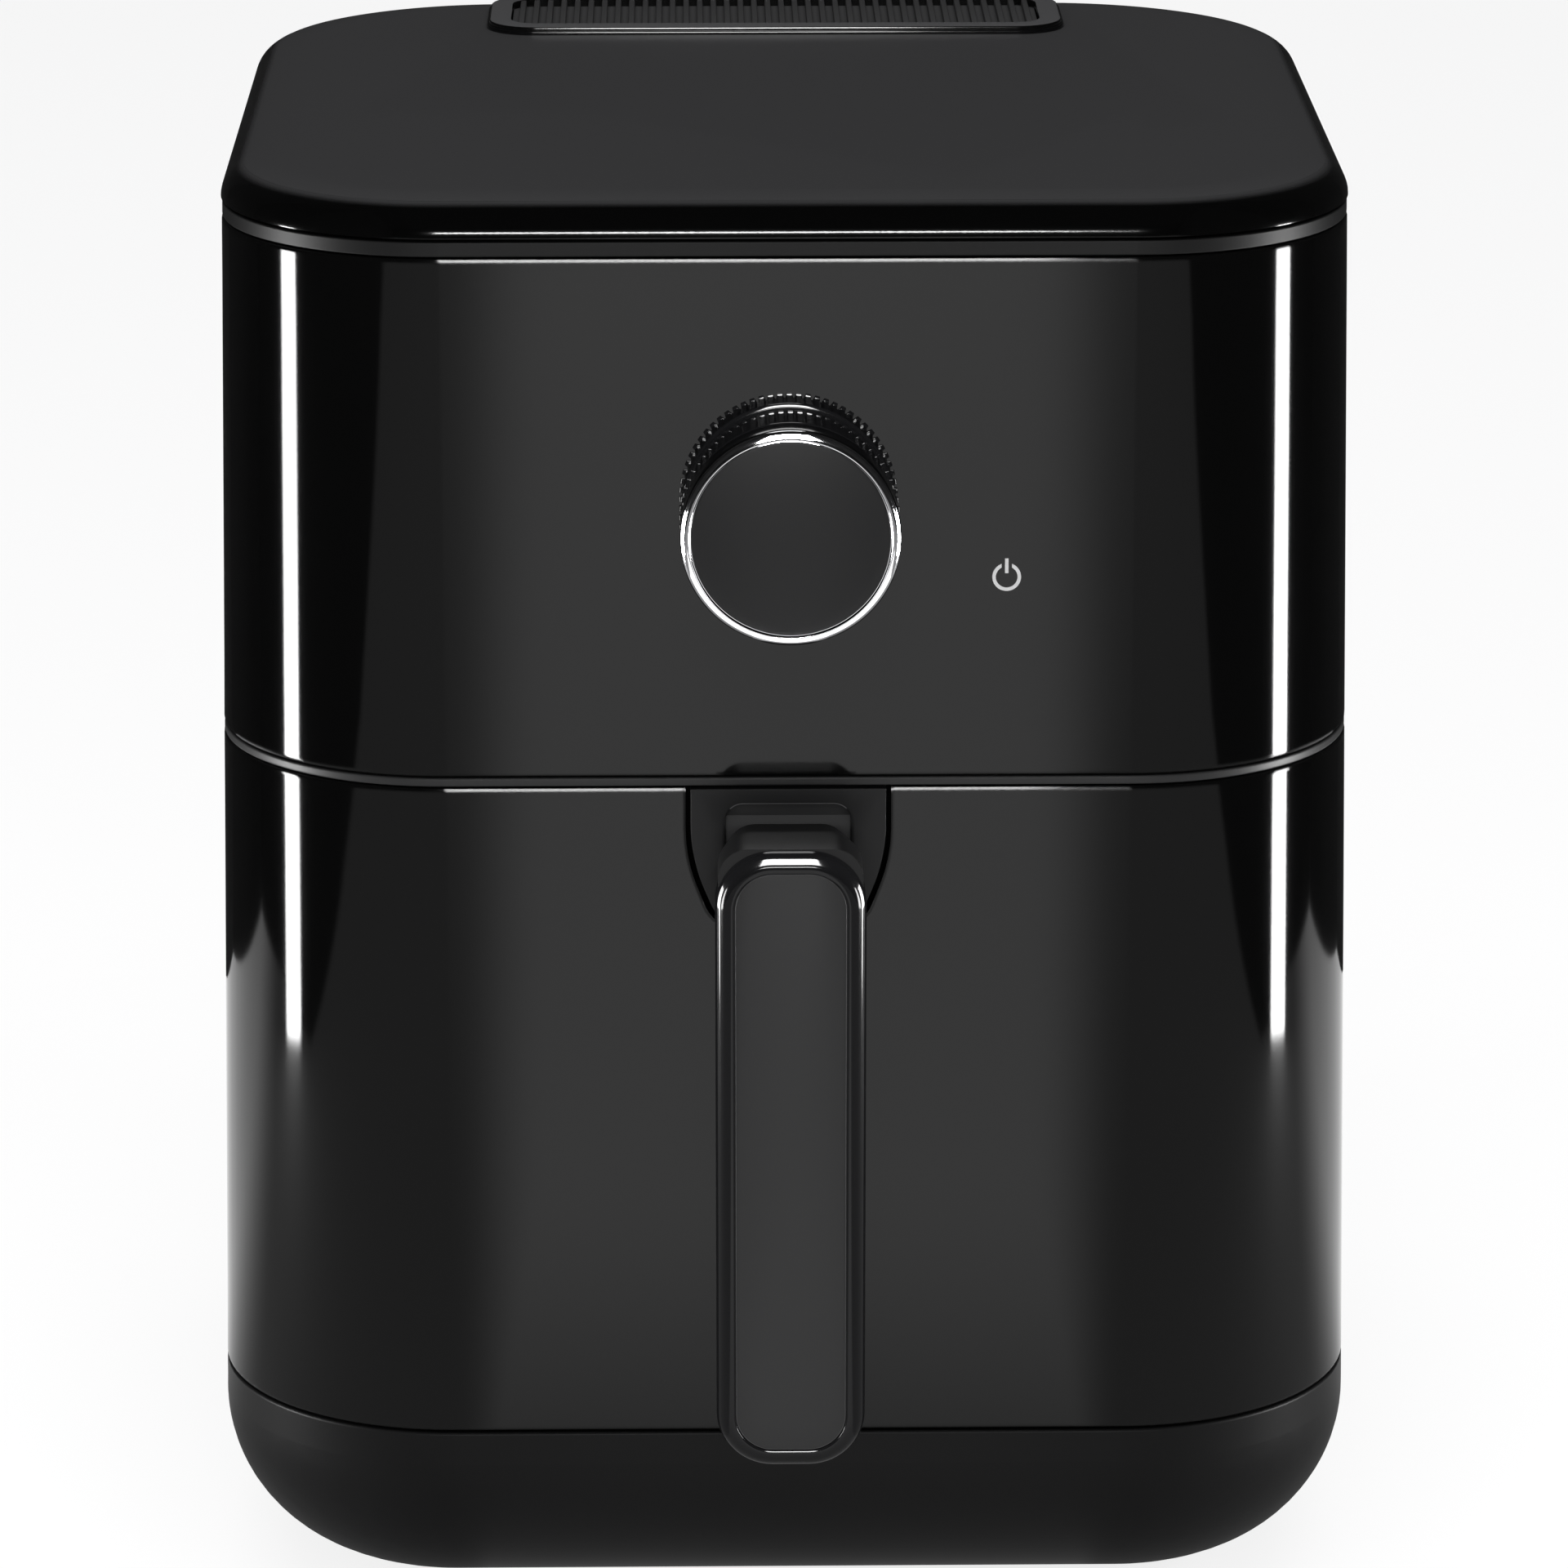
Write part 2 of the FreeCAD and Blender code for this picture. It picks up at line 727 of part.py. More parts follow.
def bladed_wheel(name, radius, z0, height):
    """A disc with radial blades under it and a hub on the shaft."""
    top = f"({z0} + {height})"
    disc = upright(f"{name}_disc", radius, f"{top} - blade_thick", top, *FAN_AXIS)
    hub = upright(f"{name}_hub", "fan_hub_radius", z0, top, *FAN_AXIS)
    count = int(number("blade_count"))
    blades = []
    for index in range(count):
        blades.append(
            spoke(
                f"{name}_blade",
                "fan_hub_radius - blade_root",
                f"{radius} - fan_hub_radius",
                "blade_thick",
                z0,
                f"{height} - blade_thick / 2",
                FULL_TURN * index / count,
            )
        )
    bore = upright(f"{name}_bore", "shaft_radius", f"{z0} - overshoot", f"{top} + overshoot", *FAN_AXIS)
    sub_part(name, cut(name, fuse(name, disc, hub, *blades), bore))


MOTOR_BOTTOM = "(liner_top + hood_height + bracket_rise + bracket_thick)"
MOTOR_TOP = f"({MOTOR_BOTTOM} + motor_height)"
COOLING_LEVEL = f"({MOTOR_TOP} + cooling_lift)"


def fan_drive():
    bladed_wheel("convection_fan", "fan_radius", "fan_level", "fan_height")
    bladed_wheel("cooling_fan", "cooling_radius", COOLING_LEVEL, "fan_height")
    shaft_low = "(fan_level - nut_height)"
    shaft = upright("shaft_rod", "shaft_radius", shaft_low, f"{COOLING_LEVEL} + fan_height", *FAN_AXIS)
    sub_part("motor_shaft", group("motor_shaft", shaft))
    nut = doc.addObject("Part::Prism", "nut_blank")
    nut.Polygon = 6
    bind(nut, Circumradius="nut_radius", Height="nut_height")
    at(nut, *FAN_AXIS, shaft_low)
    through = (f"{shaft_low} - overshoot", "fan_level + overshoot")
    bore = upright("nut_bore", "shaft_radius", *through, *FAN_AXIS)
    sub_part("fan_nut", cut("fan_nut", nut, bore))


SCREW_ANGLES = (0, 90, 180, 270)


def motor_screw_spots():
    reach = number("motor_screw_circle")
    return [
        (f"{reach * math.cos(math.radians(a)):.6f}", f"fan_axis + ({reach * math.sin(math.radians(a)):.6f})")
        for a in SCREW_ANGLES
    ]


def motor_and_bracket():
    body = upright("motor_can", "motor_radius", MOTOR_BOTTOM, MOTOR_TOP, *FAN_AXIS)
    through = (f"{MOTOR_BOTTOM} - overshoot", f"{MOTOR_TOP} + overshoot")
    bore = upright("motor_bore", "shaft_radius + turning_gap", *through, *FAN_AXIS)
    plate_low = "(liner_top + hood_height + bracket_rise)"
    plate = box(
        "bracket_plate",
        "-bracket_length / 2",
        "bracket_length / 2",
        "fan_axis - bracket_width / 2",
        "fan_axis + bracket_width / 2",
        plate_low,
        MOTOR_BOTTOM,
    )
    posts = []
    for side in ("-", ""):
        spot = f"{side}(bracket_length / 2 - bracket_post)"
        foot = "liner_top + hood_height"
        posts.append(upright("bracket_leg", "bracket_post", foot, plate_low, spot, "fan_axis"))
    plate_span = (f"{plate_low} - overshoot", f"{MOTOR_BOTTOM} + overshoot")
    screw_end = f"({plate_low} + motor_screw_length)"
    motor_span = (f"{MOTOR_BOTTOM} - overshoot", f"{screw_end} + screw_tip_gap")
    clear = upright("bracket_clear", "bracket_bore", *plate_span, *FAN_AXIS)
    motor_holes = []
    plate_holes = []
    screws = []
    for x, y in motor_screw_spots():
        wide = "motor_screw_radius + turning_gap"
        motor_holes.append(upright("motor_hole", wide, *motor_span, x, y))
        plate_holes.append(upright("plate_hole", wide, *plate_span, x, y))
        head = upright("motor_head", "motor_screw_head", f"{plate_low} - screw_head_height", plate_low, x, y)
        shank = upright("motor_shank", "motor_screw_radius", plate_low, screw_end, x, y)
        screws.append(fuse("motor_screw", head, shank))
    sub_part("motor", cut("motor", body, bore, *motor_holes))
    sub_part("motor_bracket", cut("motor_bracket", fuse("motor_bracket", plate, *posts), clear, *plate_holes))
    sub_part("motor_screws", group("motor_screws", *screws))


def knob_bar(name, radius, start, finish):
    """A round piece on the knob's axis; distances run outwards from the front panel."""
    return lying(name, radius, f"-{KNOB_FRONT} - ({finish})", f"-{KNOB_FRONT} - ({start})", "0", "knob_level")


def control_knob():
    ring_end = "(ring_start + ring_length)"
    ring = knob_bar("ring_body", "knob_radius - grip_relief", "ring_start", ring_end)
    sleeve = knob_bar("ring_sleeve", "sleeve_radius", "-shaft_reach", ring_end)
    through = ("-shaft_reach - overshoot", f"{ring_end} + overshoot")
    bore = knob_bar("ring_bore", "timer_shaft_radius + turning_gap", *through)
    sub_part("temperature_ring", cut("temperature_ring", fuse("temperature_ring", ring, sleeve), bore))
    knob_start = f"({ring_end} + loose_gap)"
    body_start = f"({ring_end} + groove_length)"
    knob_end = f"({body_start} + knob_length)"
    collar = knob_bar("knob_collar", "knob_radius - collar_relief", knob_start, body_start)
    body = knob_bar("knob_body", "knob_radius - grip_relief", body_start, knob_end)
    seat = knob_bar("knob_seat", "timer_shaft_radius", f"{knob_start} - seat_depth", body_start)
    sub_part("timer_knob", cut("timer_knob", fuse("timer_knob", collar, body), seat))
    shaft = knob_bar("timer_rod", "timer_shaft_radius", "-shaft_reach", body_start)
    sub_part("timer_shaft", group("timer_shaft", shaft))
    bezel_end = f"({knob_end} + bezel_length)"
    outer = knob_bar("bezel_outer", "knob_radius", knob_end, bezel_end)
    through = (f"{knob_end} - overshoot", f"{bezel_end} + overshoot")
    inner = knob_bar("bezel_inner", "knob_radius - bezel_width", *through)
    sub_part("knob_bezel", cut("knob_bezel", outer, inner))
    face = knob_bar(
        "face_disc", "knob_radius - bezel_width - turning_gap", knob_end, f"{bezel_end} - face_recess"
    )
    sub_part("knob_face", group("knob_face", face))


def controls():
    board_front = f"(-{KNOB_FRONT} + board_setback)"
    board = box(
        "board_plate",
        "-board_width / 2",
        "board_width / 2",
        board_front,
        f"{board_front} + board_thick",
        "knob_level - board_height / 2",
        "knob_level + board_height / 2",
    )
    sub_part("control_board", group("control_board", board))
    half = "encoder_width / 2"
    case = box(
        "encoder_case",
        f"-{half}",
        half,
        f"{board_front} - encoder_depth",
        board_front,
        f"knob_level - {half}",
        f"knob_level + {half}",
    )
    bore = lying(
        "encoder_bore",
        "sleeve_radius + turning_gap",
        f"{board_front} - encoder_depth - overshoot",
        f"-{KNOB_FRONT} + shaft_reach + loose_gap",
        "0",
        "knob_level",
    )
    sub_part("knob_encoder", cut("knob_encoder", case, bore))
    posts = []
    for side in ("-", ""):
        for rise in ("-", ""):
            x = f"{side}(board_width / 2 - 2 * board_post_radius)"
            z = f"(knob_level {rise or '+'} (board_height / 2 - 2 * board_post_radius))"
            wall_in = f"-{half_depth(z)} + wall + loose_gap"
            posts.append(lying("board_post", "board_post_radius", wall_in, board_front, x, z))
    sub_part("board_posts", group("board_posts", *posts))
    pad_front = f"(-{half_depth('icon_level')} + wall + 2 * loose_gap)"
    sensor = lying("pad_disc", "pad_radius", pad_front, f"{pad_front} + pad_thick", "icon_side", "icon_level")
    sub_part("touch_pad", group("touch_pad", sensor))


def power_icon():
    """A broken ring with an upright bar, lying on the drafted front face."""
    outer = doc.addObject("Part::Cylinder", "icon_outer")
    bind(outer, Radius="icon_radius + icon_stroke / 2", Height="icon_thick")
    inner = doc.addObject("Part::Cylinder", "icon_inner")
    bind(inner, Radius="icon_radius - icon_stroke / 2", Height="icon_thick")
    rise = ("0", "icon_thick")
    gap = box("icon_gap", "-icon_break / 2", "icon_break / 2", "0", "2 * icon_radius", *rise)
    half = "icon_stroke / 2"
    bar = box("icon_bar", f"-{half}", half, "icon_bar_low", "icon_bar_high", *rise)
    flat = fuse("power_icon", cut("icon_ring", outer, inner, gap), bar)
    turn(flat, ALONG_X, "90 - draft_angle")
    at(flat, "icon_side", f"-{half_depth('icon_level')}", "icon_level")
    sub_part("power_icon", group("power_icon", flat))


def small_inner_parts():
    hood_top = "(liner_top + hood_height)"
    fuse_block = box(
        "fuse_block",
        "-fuse_length / 2",
        "fuse_length / 2",
        "fan_axis + fuse_side - fuse_width",
        "fan_axis + fuse_side",
        hood_top,
        f"{hood_top} + fuse_height",
    )
    sub_part("thermal_fuse", group("thermal_fuse", fuse_block))
    switch = box(
        "switch_case",
        LINER_HALF,
        f"{LINER_HALF} + switch_width",
        "-parting + loose_gap",
        "-parting + loose_gap + switch_depth",
        "switch_level",
        "switch_level + switch_height",
    )
    sub_part("door_switch", group("door_switch", switch))


DRAWER_LOW = "(base_seam + drawer_gap)"


def bracket_sketch(body, name, widen, depth_back):
    """The handle plate's outline on the drawer front: straight sides that draw in to a waist."""
    sketch = new_sketch(body, name, "XZ_Plane", depth_back)
    half = f"(bracket_half_width + ({widen}))"
    waist = f"(bracket_waist + ({widen}))"
    top = "(drawer_top + wall)"
    knee = "(drawer_top - bracket_straight)"
    foot = f"(drawer_top - bracket_drop - ({widen}))"
    corners = [(half, top), (half, knee), (waist, foot)]
    corners += [(f"-{x}", z) for x, z in reversed(corners)]
    points = [FreeCAD.Vector(number(x), number(z), 0) for x, z in corners]
    count = len(points)
    for index in range(count):
        sketch.addGeometry(Part.LineSegment(points[index], points[(index + 1) % count]), False)
    for index in range(count):
        sketch.addConstraint(Sketcher.Constraint("Coincident", index, 2, (index + 1) % count, 1))
    for index, (x, z) in enumerate(corners):
        for kind, words in (("DistanceX", x), ("DistanceY", z)):
            rule = Sketcher.Constraint(kind, -1, 1, index, 1, number(words))
            place = sketch.addConstraint(rule)
            tag = f"{kind}{index}"
            sketch.renameConstraint(place, tag)
            sketch.setExpression(f"Constraints.{tag}", formula(words))
    return sketch


def bracket_block(name, widen):
    """The outline pushed through the drawer front from well ahead of it."""
    body = doc.addObject("PartDesign::Body", name)
    ahead = "(housing_depth / 2 + 2 * bracket_depth)"
    sketch = bracket_sketch(body, f"{name}_outline", widen, ahead)
    feature = pad(body, sketch, "4 * bracket_depth")
    feature.Reversed = True
    round_edges(body, feature, f"bracket_curve + ({widen})", runs_through("drawer_top - bracket_straight"))
    foot = f"drawer_top - bracket_drop - ({widen})"
    round_edges(body, body.Tip, f"bracket_foot_curve + ({widen})", runs_through(foot))
    return body


def drawer_front():
    outside = form("drawer_outside", DRAWER_LOW, "drawer_top")
    soften(outside, DRAWER_LOW, "drawer_top", "edge_round")
    reach = half_width("0")
    levels = ("base_seam", "drawer_top + wall")
    zone = box("drawer_keep", f"-{reach}", reach, "-housing_depth", "-parting - drawer_gap", *levels)
    inside = form("drawer_inside", f"{DRAWER_LOW} + drawer_wall", "drawer_top - drawer_wall", "drawer_wall")
    front = cut("drawer_hollow", common("drawer_outside", outside, zone), inside)
    sub_part("drawer_front", cut("drawer_front", front, bracket_block("bracket_opening", "bracket_gap")))
    room = form(
        "plate_room",
        f"{DRAWER_LOW} + drawer_wall + loose_gap",
        "drawer_top - drawer_wall - loose_gap",
        "drawer_wall + loose_gap",
    )
    slab = box("plate_slab", f"-{reach}", reach, "-plate_back - plate_thick", "-plate_back", *levels)
    sub_part("drawer_plate", common("drawer_plate", room, slab))


BRACKET_BACK = f"({half_depth('drawer_top')} - bracket_depth)"


def handle_bracket():
    block = bracket_block("bracket_outside", "0")
    skin = form("bracket_skin", "drawer_top - bracket_drop - wall", "drawer_top - seam_gap")
    ahead = box(
        "bracket_zone",
        "-housing_width / 2",
        "housing_width / 2",
        "-housing_depth",
        f"-{BRACKET_BACK}",
        "base_seam",
        "housing_top",
    )
    plate = common("bracket_plate", common("bracket_form", block, skin), ahead)
    wing = "(bracket_half_width + bracket_flange)"
    flange = box(
        "bracket_back",
        f"-{wing}",
        wing,
        f"-({half_depth('drawer_top')} - drawer_wall - turning_gap)",
        f"-{BRACKET_BACK}",
        "drawer_top - bracket_drop - bracket_flange",
        "drawer_top - drawer_wall - loose_gap",
    )
    pocket_level = "(drawer_top - pocket_top)"
    surface = half_depth(pocket_level)
    pocket = upright_slab(
        "bracket_pocket",
        "pocket_half_width",
        f"{pocket_level} - pocket_height",
        pocket_level,
        "pocket_corner",
        f"({surface} + wall)",
        "wall + pocket_depth",
    )
    holes = []
    for side in ("-", ""):
        holes.append(
            lying(
                "bracket_hole",
                "handle_screw_radius + turning_gap",
                f"-{surface} - wall",
                f"-{BRACKET_BACK} + overshoot",
                f"{side}handle_screw_side",
                SCREW_LEVEL,
            )
        )
    sub_part("handle_bracket", cut("handle_bracket", fuse("handle_bracket", plate, flange), pocket, *holes))


HANDLE_FACE = f"({half_depth('drawer_top')} + handle_reach)"
HANDLE_BACK = f"({HANDLE_FACE} - handle_thick)"
NECK_TOP = "(handle_top - neck_drop)"
SCREW_LEVEL = f"({NECK_TOP} - neck_height / 2)"
NECK_ROOT = f"({half_depth('drawer_top - pocket_top')} - pocket_depth)"


def upright_slab(name, half, low, high, corner, front, thick):
    """A rounded slab standing in front of the drawer, padded back from its front face."""
    body = doc.addObject("PartDesign::Body", name)
    sketch = new_sketch(body, f"{name}_outline", "XZ_Plane", front)
    rounded_outline(sketch, f"-({half})", half, low, high, corner, corner)
    feature = pad(body, sketch, thick)
    feature.Reversed = True
    return body


def handle():
    bar = upright_slab(
        "handle_bar",
        "handle_width / 2",
        "handle_bottom",
        "handle_top",
        "handle_corner",
        HANDLE_FACE,
        "handle_thick",
    )
    front = number(f"-{HANDLE_FACE}")
    round_edges(bar, bar.Tip, "handle_edge", lambda e: all(abs(v.Y - front) < NEAR for v in e.Vertexes))
    inner_half = "(handle_width / 2 - inlay_border)"
    recess = upright_slab(
        "inlay_recess",
        inner_half,
        "handle_bottom + inlay_border",
        "handle_top - inlay_border",
        "inlay_corner",
        f"{HANDLE_FACE} + overshoot",
        "inlay_thick + overshoot",
    )
    neck_end = f"({HANDLE_BACK} + neck_bite)"
    neck = upright_slab(
        "handle_neck",
        "neck_half_width",
        f"{NECK_TOP} - neck_height",
        NECK_TOP,
        "neck_corner",
        neck_end,
        f"{neck_end} - {NECK_ROOT}",
    )
    holes = []
    screws = []
    for side in ("-", ""):
        spot = (f"{side}handle_screw_side", SCREW_LEVEL)
        back = f"-{BRACKET_BACK}"
        tip = f"({back} - handle_screw_length)"
        wide = "handle_screw_radius + turning_gap"
        holes.append(lying("neck_hole", wide, f"{tip} - screw_tip_gap", back, *spot))
        shank = lying("handle_shank", "handle_screw_radius", tip, back, *spot)
        head = lying("handle_head", "handle_screw_head", back, f"{back} + screw_head_height", *spot)
        screws.append(fuse("handle_screw", shank, head))
    sub_part("handle_frame", cut("handle_frame", fuse("handle_frame", bar, neck), recess, *holes))
    inlay = upright_slab(
        "inlay_plate",
        f"{inner_half} - turning_gap",
        "handle_bottom + inlay_border + turning_gap",
        "handle_top - inlay_border - turning_gap",
        "inlay_corner - turning_gap",
        HANDLE_FACE,
        "inlay_thick",
    )
    sub_part("handle_inlay", inlay)
    sub_part("handle_screws", group("handle_screws", *screws))


def pan_form(name, inset, low, high):
    body = doc.addObject("PartDesign::Body", name)
    sketch = new_sketch(body, f"{name}_outline", "XY_Plane", low)
    half = f"({PAN_HALF} - ({inset}))"
    corner = f"(pan_corner - ({inset}))"
    ends = (f"-plate_back + ({inset})", f"{PAN_BACK} - ({inset})")
    rounded_outline(sketch, f"-{half}", half, *ends, corner, corner)
    feature = pad(body, sketch, f"({high}) - ({low})")
    round_edges(body, feature, f"pan_round - ({inset})", lies_at(low))
    return body


def drawer_pan():
    outside = pan_form("pan_outside", "0", "pan_bottom", "pan_top")
    inside = pan_form("pan_inside", "pan_wall", "pan_bottom + pan_wall", "pan_top + pan_round")
    flange_low = "(runner_level + runner_thick + loose_gap)"
    wing = f"({PAN_HALF} + flange_width)"
    flange = box(
        "pan_flange",
        f"-{wing}",
        wing,
        "-plate_back",
        PAN_BACK,
        flange_low,
        f"{flange_low} + flange_thick",
    )
    sub_part("drawer_pan", cut("drawer_pan", fuse("drawer_pan", outside, flange), inside))


def crisper_plate():
    body = doc.addObject("PartDesign::Body", "crisper_blank")
    sketch = new_sketch(body, "crisper_outline", "XY_Plane", "crisper_level")
    margin = "(pan_wall + crisper_margin)"
    half = f"({PAN_HALF} - {margin})"
    corner = f"(pan_corner - {margin})"
    ends = (f"-plate_back + {margin}", f"{PAN_BACK} - {margin}")
    rounded_outline(sketch, f"-{half}", half, *ends, corner, corner)
    pad(body, sketch, "crisper_thick")
    slots = []
    columns = int(number("crisper_slot_columns"))
    middle_y = f"(({PAN_BACK} - plate_back) / 2)"
    for column in range(columns):
        x = f"(({column} - (crisper_slot_columns - 1) / 2) * crisper_slot_pitch)"
        for rank in (-1, 0, 1):
            y = f"({middle_y} + ({rank}) * crisper_row_pitch)"
            slots.append(
                box(
                    "crisper_slot",
                    f"{x} - crisper_slot_width / 2",
                    f"{x} + crisper_slot_width / 2",
                    f"{y} - crisper_slot_length / 2",
                    f"{y} + crisper_slot_length / 2",
                    "crisper_level - overshoot",
                    "crisper_level + crisper_thick + overshoot",
                )
            )
    sub_part("crisper_plate", cut("crisper_plate", body, group("crisper_slots", *slots)))
    bumpers = []
    for x in ("-bumper_side", "bumper_side"):
        for y in (f"{middle_y} - bumper_side", f"{middle_y} + bumper_side"):
            bumpers.append(
                upright("bumper", "bumper_radius", "pan_bottom + pan_wall + loose_gap", "crisper_level", x, y)
            )
    sub_part("plate_bumpers", group("plate_bumpers", *bumpers))


base_shell()
rubber_feet()
base_screws()
rear_shell()
cord_gland()
control_housing()
trims()
top_cover()
vent()
cooking_chamber()
fan_guard()
heating_element()
element_clips()
fan_drive()
motor_and_bracket()
control_knob()
controls()
power_icon()
small_inner_parts()
drawer_front()
handle_bracket()
handle()
drawer_pan()
crisper_plate()

doc.recompute()
faults = [f"{o.Name} {o.State}" for o in doc.Objects if "Invalid" in o.State or "Error" in o.State]
for piece in SUB_PARTS:
    if piece.Shape.isNull() or not piece.Shape.isValid():
        faults.append(f"{piece.Label} has no valid shape")
if faults:
    raise RuntimeError("; ".join(faults))

os.makedirs("parts", exist_ok=True)
for piece in SUB_PARTS:
    piece.Shape.exportStep(f"parts/{piece.Label}.step")
    print(piece.Label, len(piece.Shape.Solids), round(piece.Shape.Volume), piece.Shape.BoundBox)
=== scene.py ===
# %% [markdown]
# # A drawer air fryer, dressed for its picture
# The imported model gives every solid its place, in metres, with +Z up and the front towards -Y. This
# lesson keeps the plain shells as they are, gives each one a moulded or metal finish, and models the
# pieces whose shape catches the eye: the knurled knob, the hanging handle and the ribbed vent.

# %% Load the frame
import json
import math
import bpy
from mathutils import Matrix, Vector


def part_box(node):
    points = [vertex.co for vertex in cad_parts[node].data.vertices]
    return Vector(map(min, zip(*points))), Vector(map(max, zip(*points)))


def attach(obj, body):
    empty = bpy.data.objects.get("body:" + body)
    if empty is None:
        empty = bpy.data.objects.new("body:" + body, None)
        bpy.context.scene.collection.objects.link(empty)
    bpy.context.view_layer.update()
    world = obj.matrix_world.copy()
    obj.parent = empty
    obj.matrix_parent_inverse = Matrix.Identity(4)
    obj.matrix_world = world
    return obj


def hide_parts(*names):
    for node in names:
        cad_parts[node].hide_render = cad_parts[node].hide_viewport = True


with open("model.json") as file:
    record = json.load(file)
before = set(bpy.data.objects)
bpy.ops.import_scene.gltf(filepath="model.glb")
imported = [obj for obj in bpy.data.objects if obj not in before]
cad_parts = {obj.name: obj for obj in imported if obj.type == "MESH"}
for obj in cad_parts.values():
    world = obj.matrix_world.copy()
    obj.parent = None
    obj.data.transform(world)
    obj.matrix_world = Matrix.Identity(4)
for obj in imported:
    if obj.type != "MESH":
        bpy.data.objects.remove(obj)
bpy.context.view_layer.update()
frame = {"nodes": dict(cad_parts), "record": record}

MM = 0.001

# %% [markdown]
# ## The camera
# A long lens far away keeps the sides of the housing almost upright. The camera looks a little down. It
# stands a few centimetres to the left of the middle and turns a shade to the right. Its place is measured
# from the front of the housing's top edge, which is where the picture was matched.

# %% Camera
LENS_PIXELS = 8500.0
FRAME_PIXELS = 1920.0
SENSOR_MM = 36.0
CAMERA_TILT = math.radians(16.84)
CAMERA_TURN = math.radians(0.85)
CAMERA_AHEAD = 1.5387
CAMERA_SIDE = -0.0238
CAMERA_HEIGHT = 0.6752

front_of_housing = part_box("upper_trim")[0].y
camera_data = bpy.data.cameras.new("photo_camera")
camera_data.sensor_width = SENSOR_MM
camera_data.lens = LENS_PIXELS / FRAME_PIXELS * SENSOR_MM
camera_data.clip_end = 50.0
camera = bpy.data.objects.new("photo_camera", camera_data)
camera.location = (CAMERA_SIDE, front_of_housing - CAMERA_AHEAD, CAMERA_HEIGHT)
camera.rotation_euler = (math.pi / 2 - CAMERA_TILT, 0.0, -CAMERA_TURN)
bpy.context.collection.objects.link(camera)
bpy.context.scene.camera = camera
print("camera", [round(v, 4) for v in camera.location], "lens", round(camera_data.lens, 1))

# %% [markdown]
# ## Floor, light and dark screens
# A polished dark body shows its surroundings more than its own colour. The pale floor in front gives the
# flat front its grey, strip lamps draw the white lines down the rounded corners, and dark screens around
# the set keep those corners black beside the lines.

# %% Helpers for operators


def leave_edit_mode():
    """Go back to object mode, if a cell left edit mode open."""
    if bpy.context.mode != "OBJECT":
        bpy.ops.object.mode_set(mode="OBJECT")


def start_fresh():
    """Deselect everything, so that the next operator acts on the new piece alone."""
    leave_edit_mode()
    bpy.ops.object.select_all(action="DESELECT")


def take(obj):
    """Make one object the only selected and active one."""
    start_fresh()
    obj.select_set(True)
    bpy.context.view_layer.objects.active = obj


def named(name):
    """Name the new object and its mesh alike."""
    obj = bpy.context.object
    obj.name = name
    obj.data.name = name
    return obj


def settle(obj):
    """Put an object's place, turn and scale into its mesh."""
    take(obj)
    bpy.ops.object.transform_apply(location=True, rotation=True, scale=True)
    return obj


def apply_modifiers(obj):
    """Apply every modifier on an object, in order."""
    take(obj)
    for modifier in list(obj.modifiers):
        bpy.ops.object.modifier_apply(modifier=modifier.name)
    return obj


# %% Floor and backdrop
FLOOR_COLOUR = (0.86, 0.86, 0.86, 1.0)
FLOOR_ROUGHNESS = 0.9
FLOOR_SIZE = 14.0
WHITE_SHARE = 0.80


def plain_material(name, colour, roughness):
    """One colour and one roughness all over."""
    material = bpy.data.materials.new(name)
    material.use_nodes = True
    shader = material.node_tree.nodes["Principled BSDF"]
    shader.inputs["Base Color"].default_value = colour
    shader.inputs["Roughness"].default_value = roughness
    return material


def white_to_rays(tree):
    """A factor that is 1 for what the camera sees directly, in a reflection or through glass."""
    path = tree.nodes.new("ShaderNodeLightPath")
    total = path.outputs["Is Camera Ray"]
    for other in ("Is Glossy Ray", "Is Transmission Ray"):
        add = tree.nodes.new("ShaderNodeMath")
        add.operation = "ADD"
        add.use_clamp = True
        tree.links.new(total, add.inputs[0])
        tree.links.new(path.outputs[other], add.inputs[1])
        total = add.outputs[0]
    return total


def floor_material():
    """Pale floor that stays near white in the picture and still keeps a part of the shadow."""
    material = plain_material("pale_floor", FLOOR_COLOUR, FLOOR_ROUGHNESS)
    tree = material.node_tree
    glow = tree.nodes.new("ShaderNodeEmission")
    share = tree.nodes.new("ShaderNodeMath")
    share.operation = "MULTIPLY"
    share.inputs[1].default_value = WHITE_SHARE
    blend = tree.nodes.new("ShaderNodeMixShader")
    tree.links.new(white_to_rays(tree), share.inputs[0])
    tree.links.new(share.outputs[0], blend.inputs["Fac"])
    tree.links.new(tree.nodes["Principled BSDF"].outputs[0], blend.inputs[1])
    tree.links.new(glow.outputs[0], blend.inputs[2])
    tree.links.new(blend.outputs[0], tree.nodes["Material Output"].inputs["Surface"])
    return material


start_fresh()
bpy.ops.mesh.primitive_plane_add(size=FLOOR_SIZE, location=(0.0, 0.0, 0.0))
floor = named("floor")
floor.data.materials.append(floor_material())
print("floor", FLOOR_SIZE, "m")

# %% Room light
ROOM_LIGHT = (0.45, 0.45, 0.46, 1.0)
world = bpy.data.worlds.new("studio")
bpy.context.scene.world = world
world.use_nodes = True
room = world.node_tree.nodes.new("ShaderNodeMix")
room.data_type = "RGBA"
room.inputs["A"].default_value = ROOM_LIGHT
room.inputs["B"].default_value = (1.0, 1.0, 1.0, 1.0)
world.node_tree.links.new(white_to_rays(world.node_tree), room.inputs["Factor"])
world.node_tree.links.new(room.outputs["Result"], world.node_tree.nodes["Background"].inputs["Color"])
print("room light", ROOM_LIGHT[0])

# %% Lamps


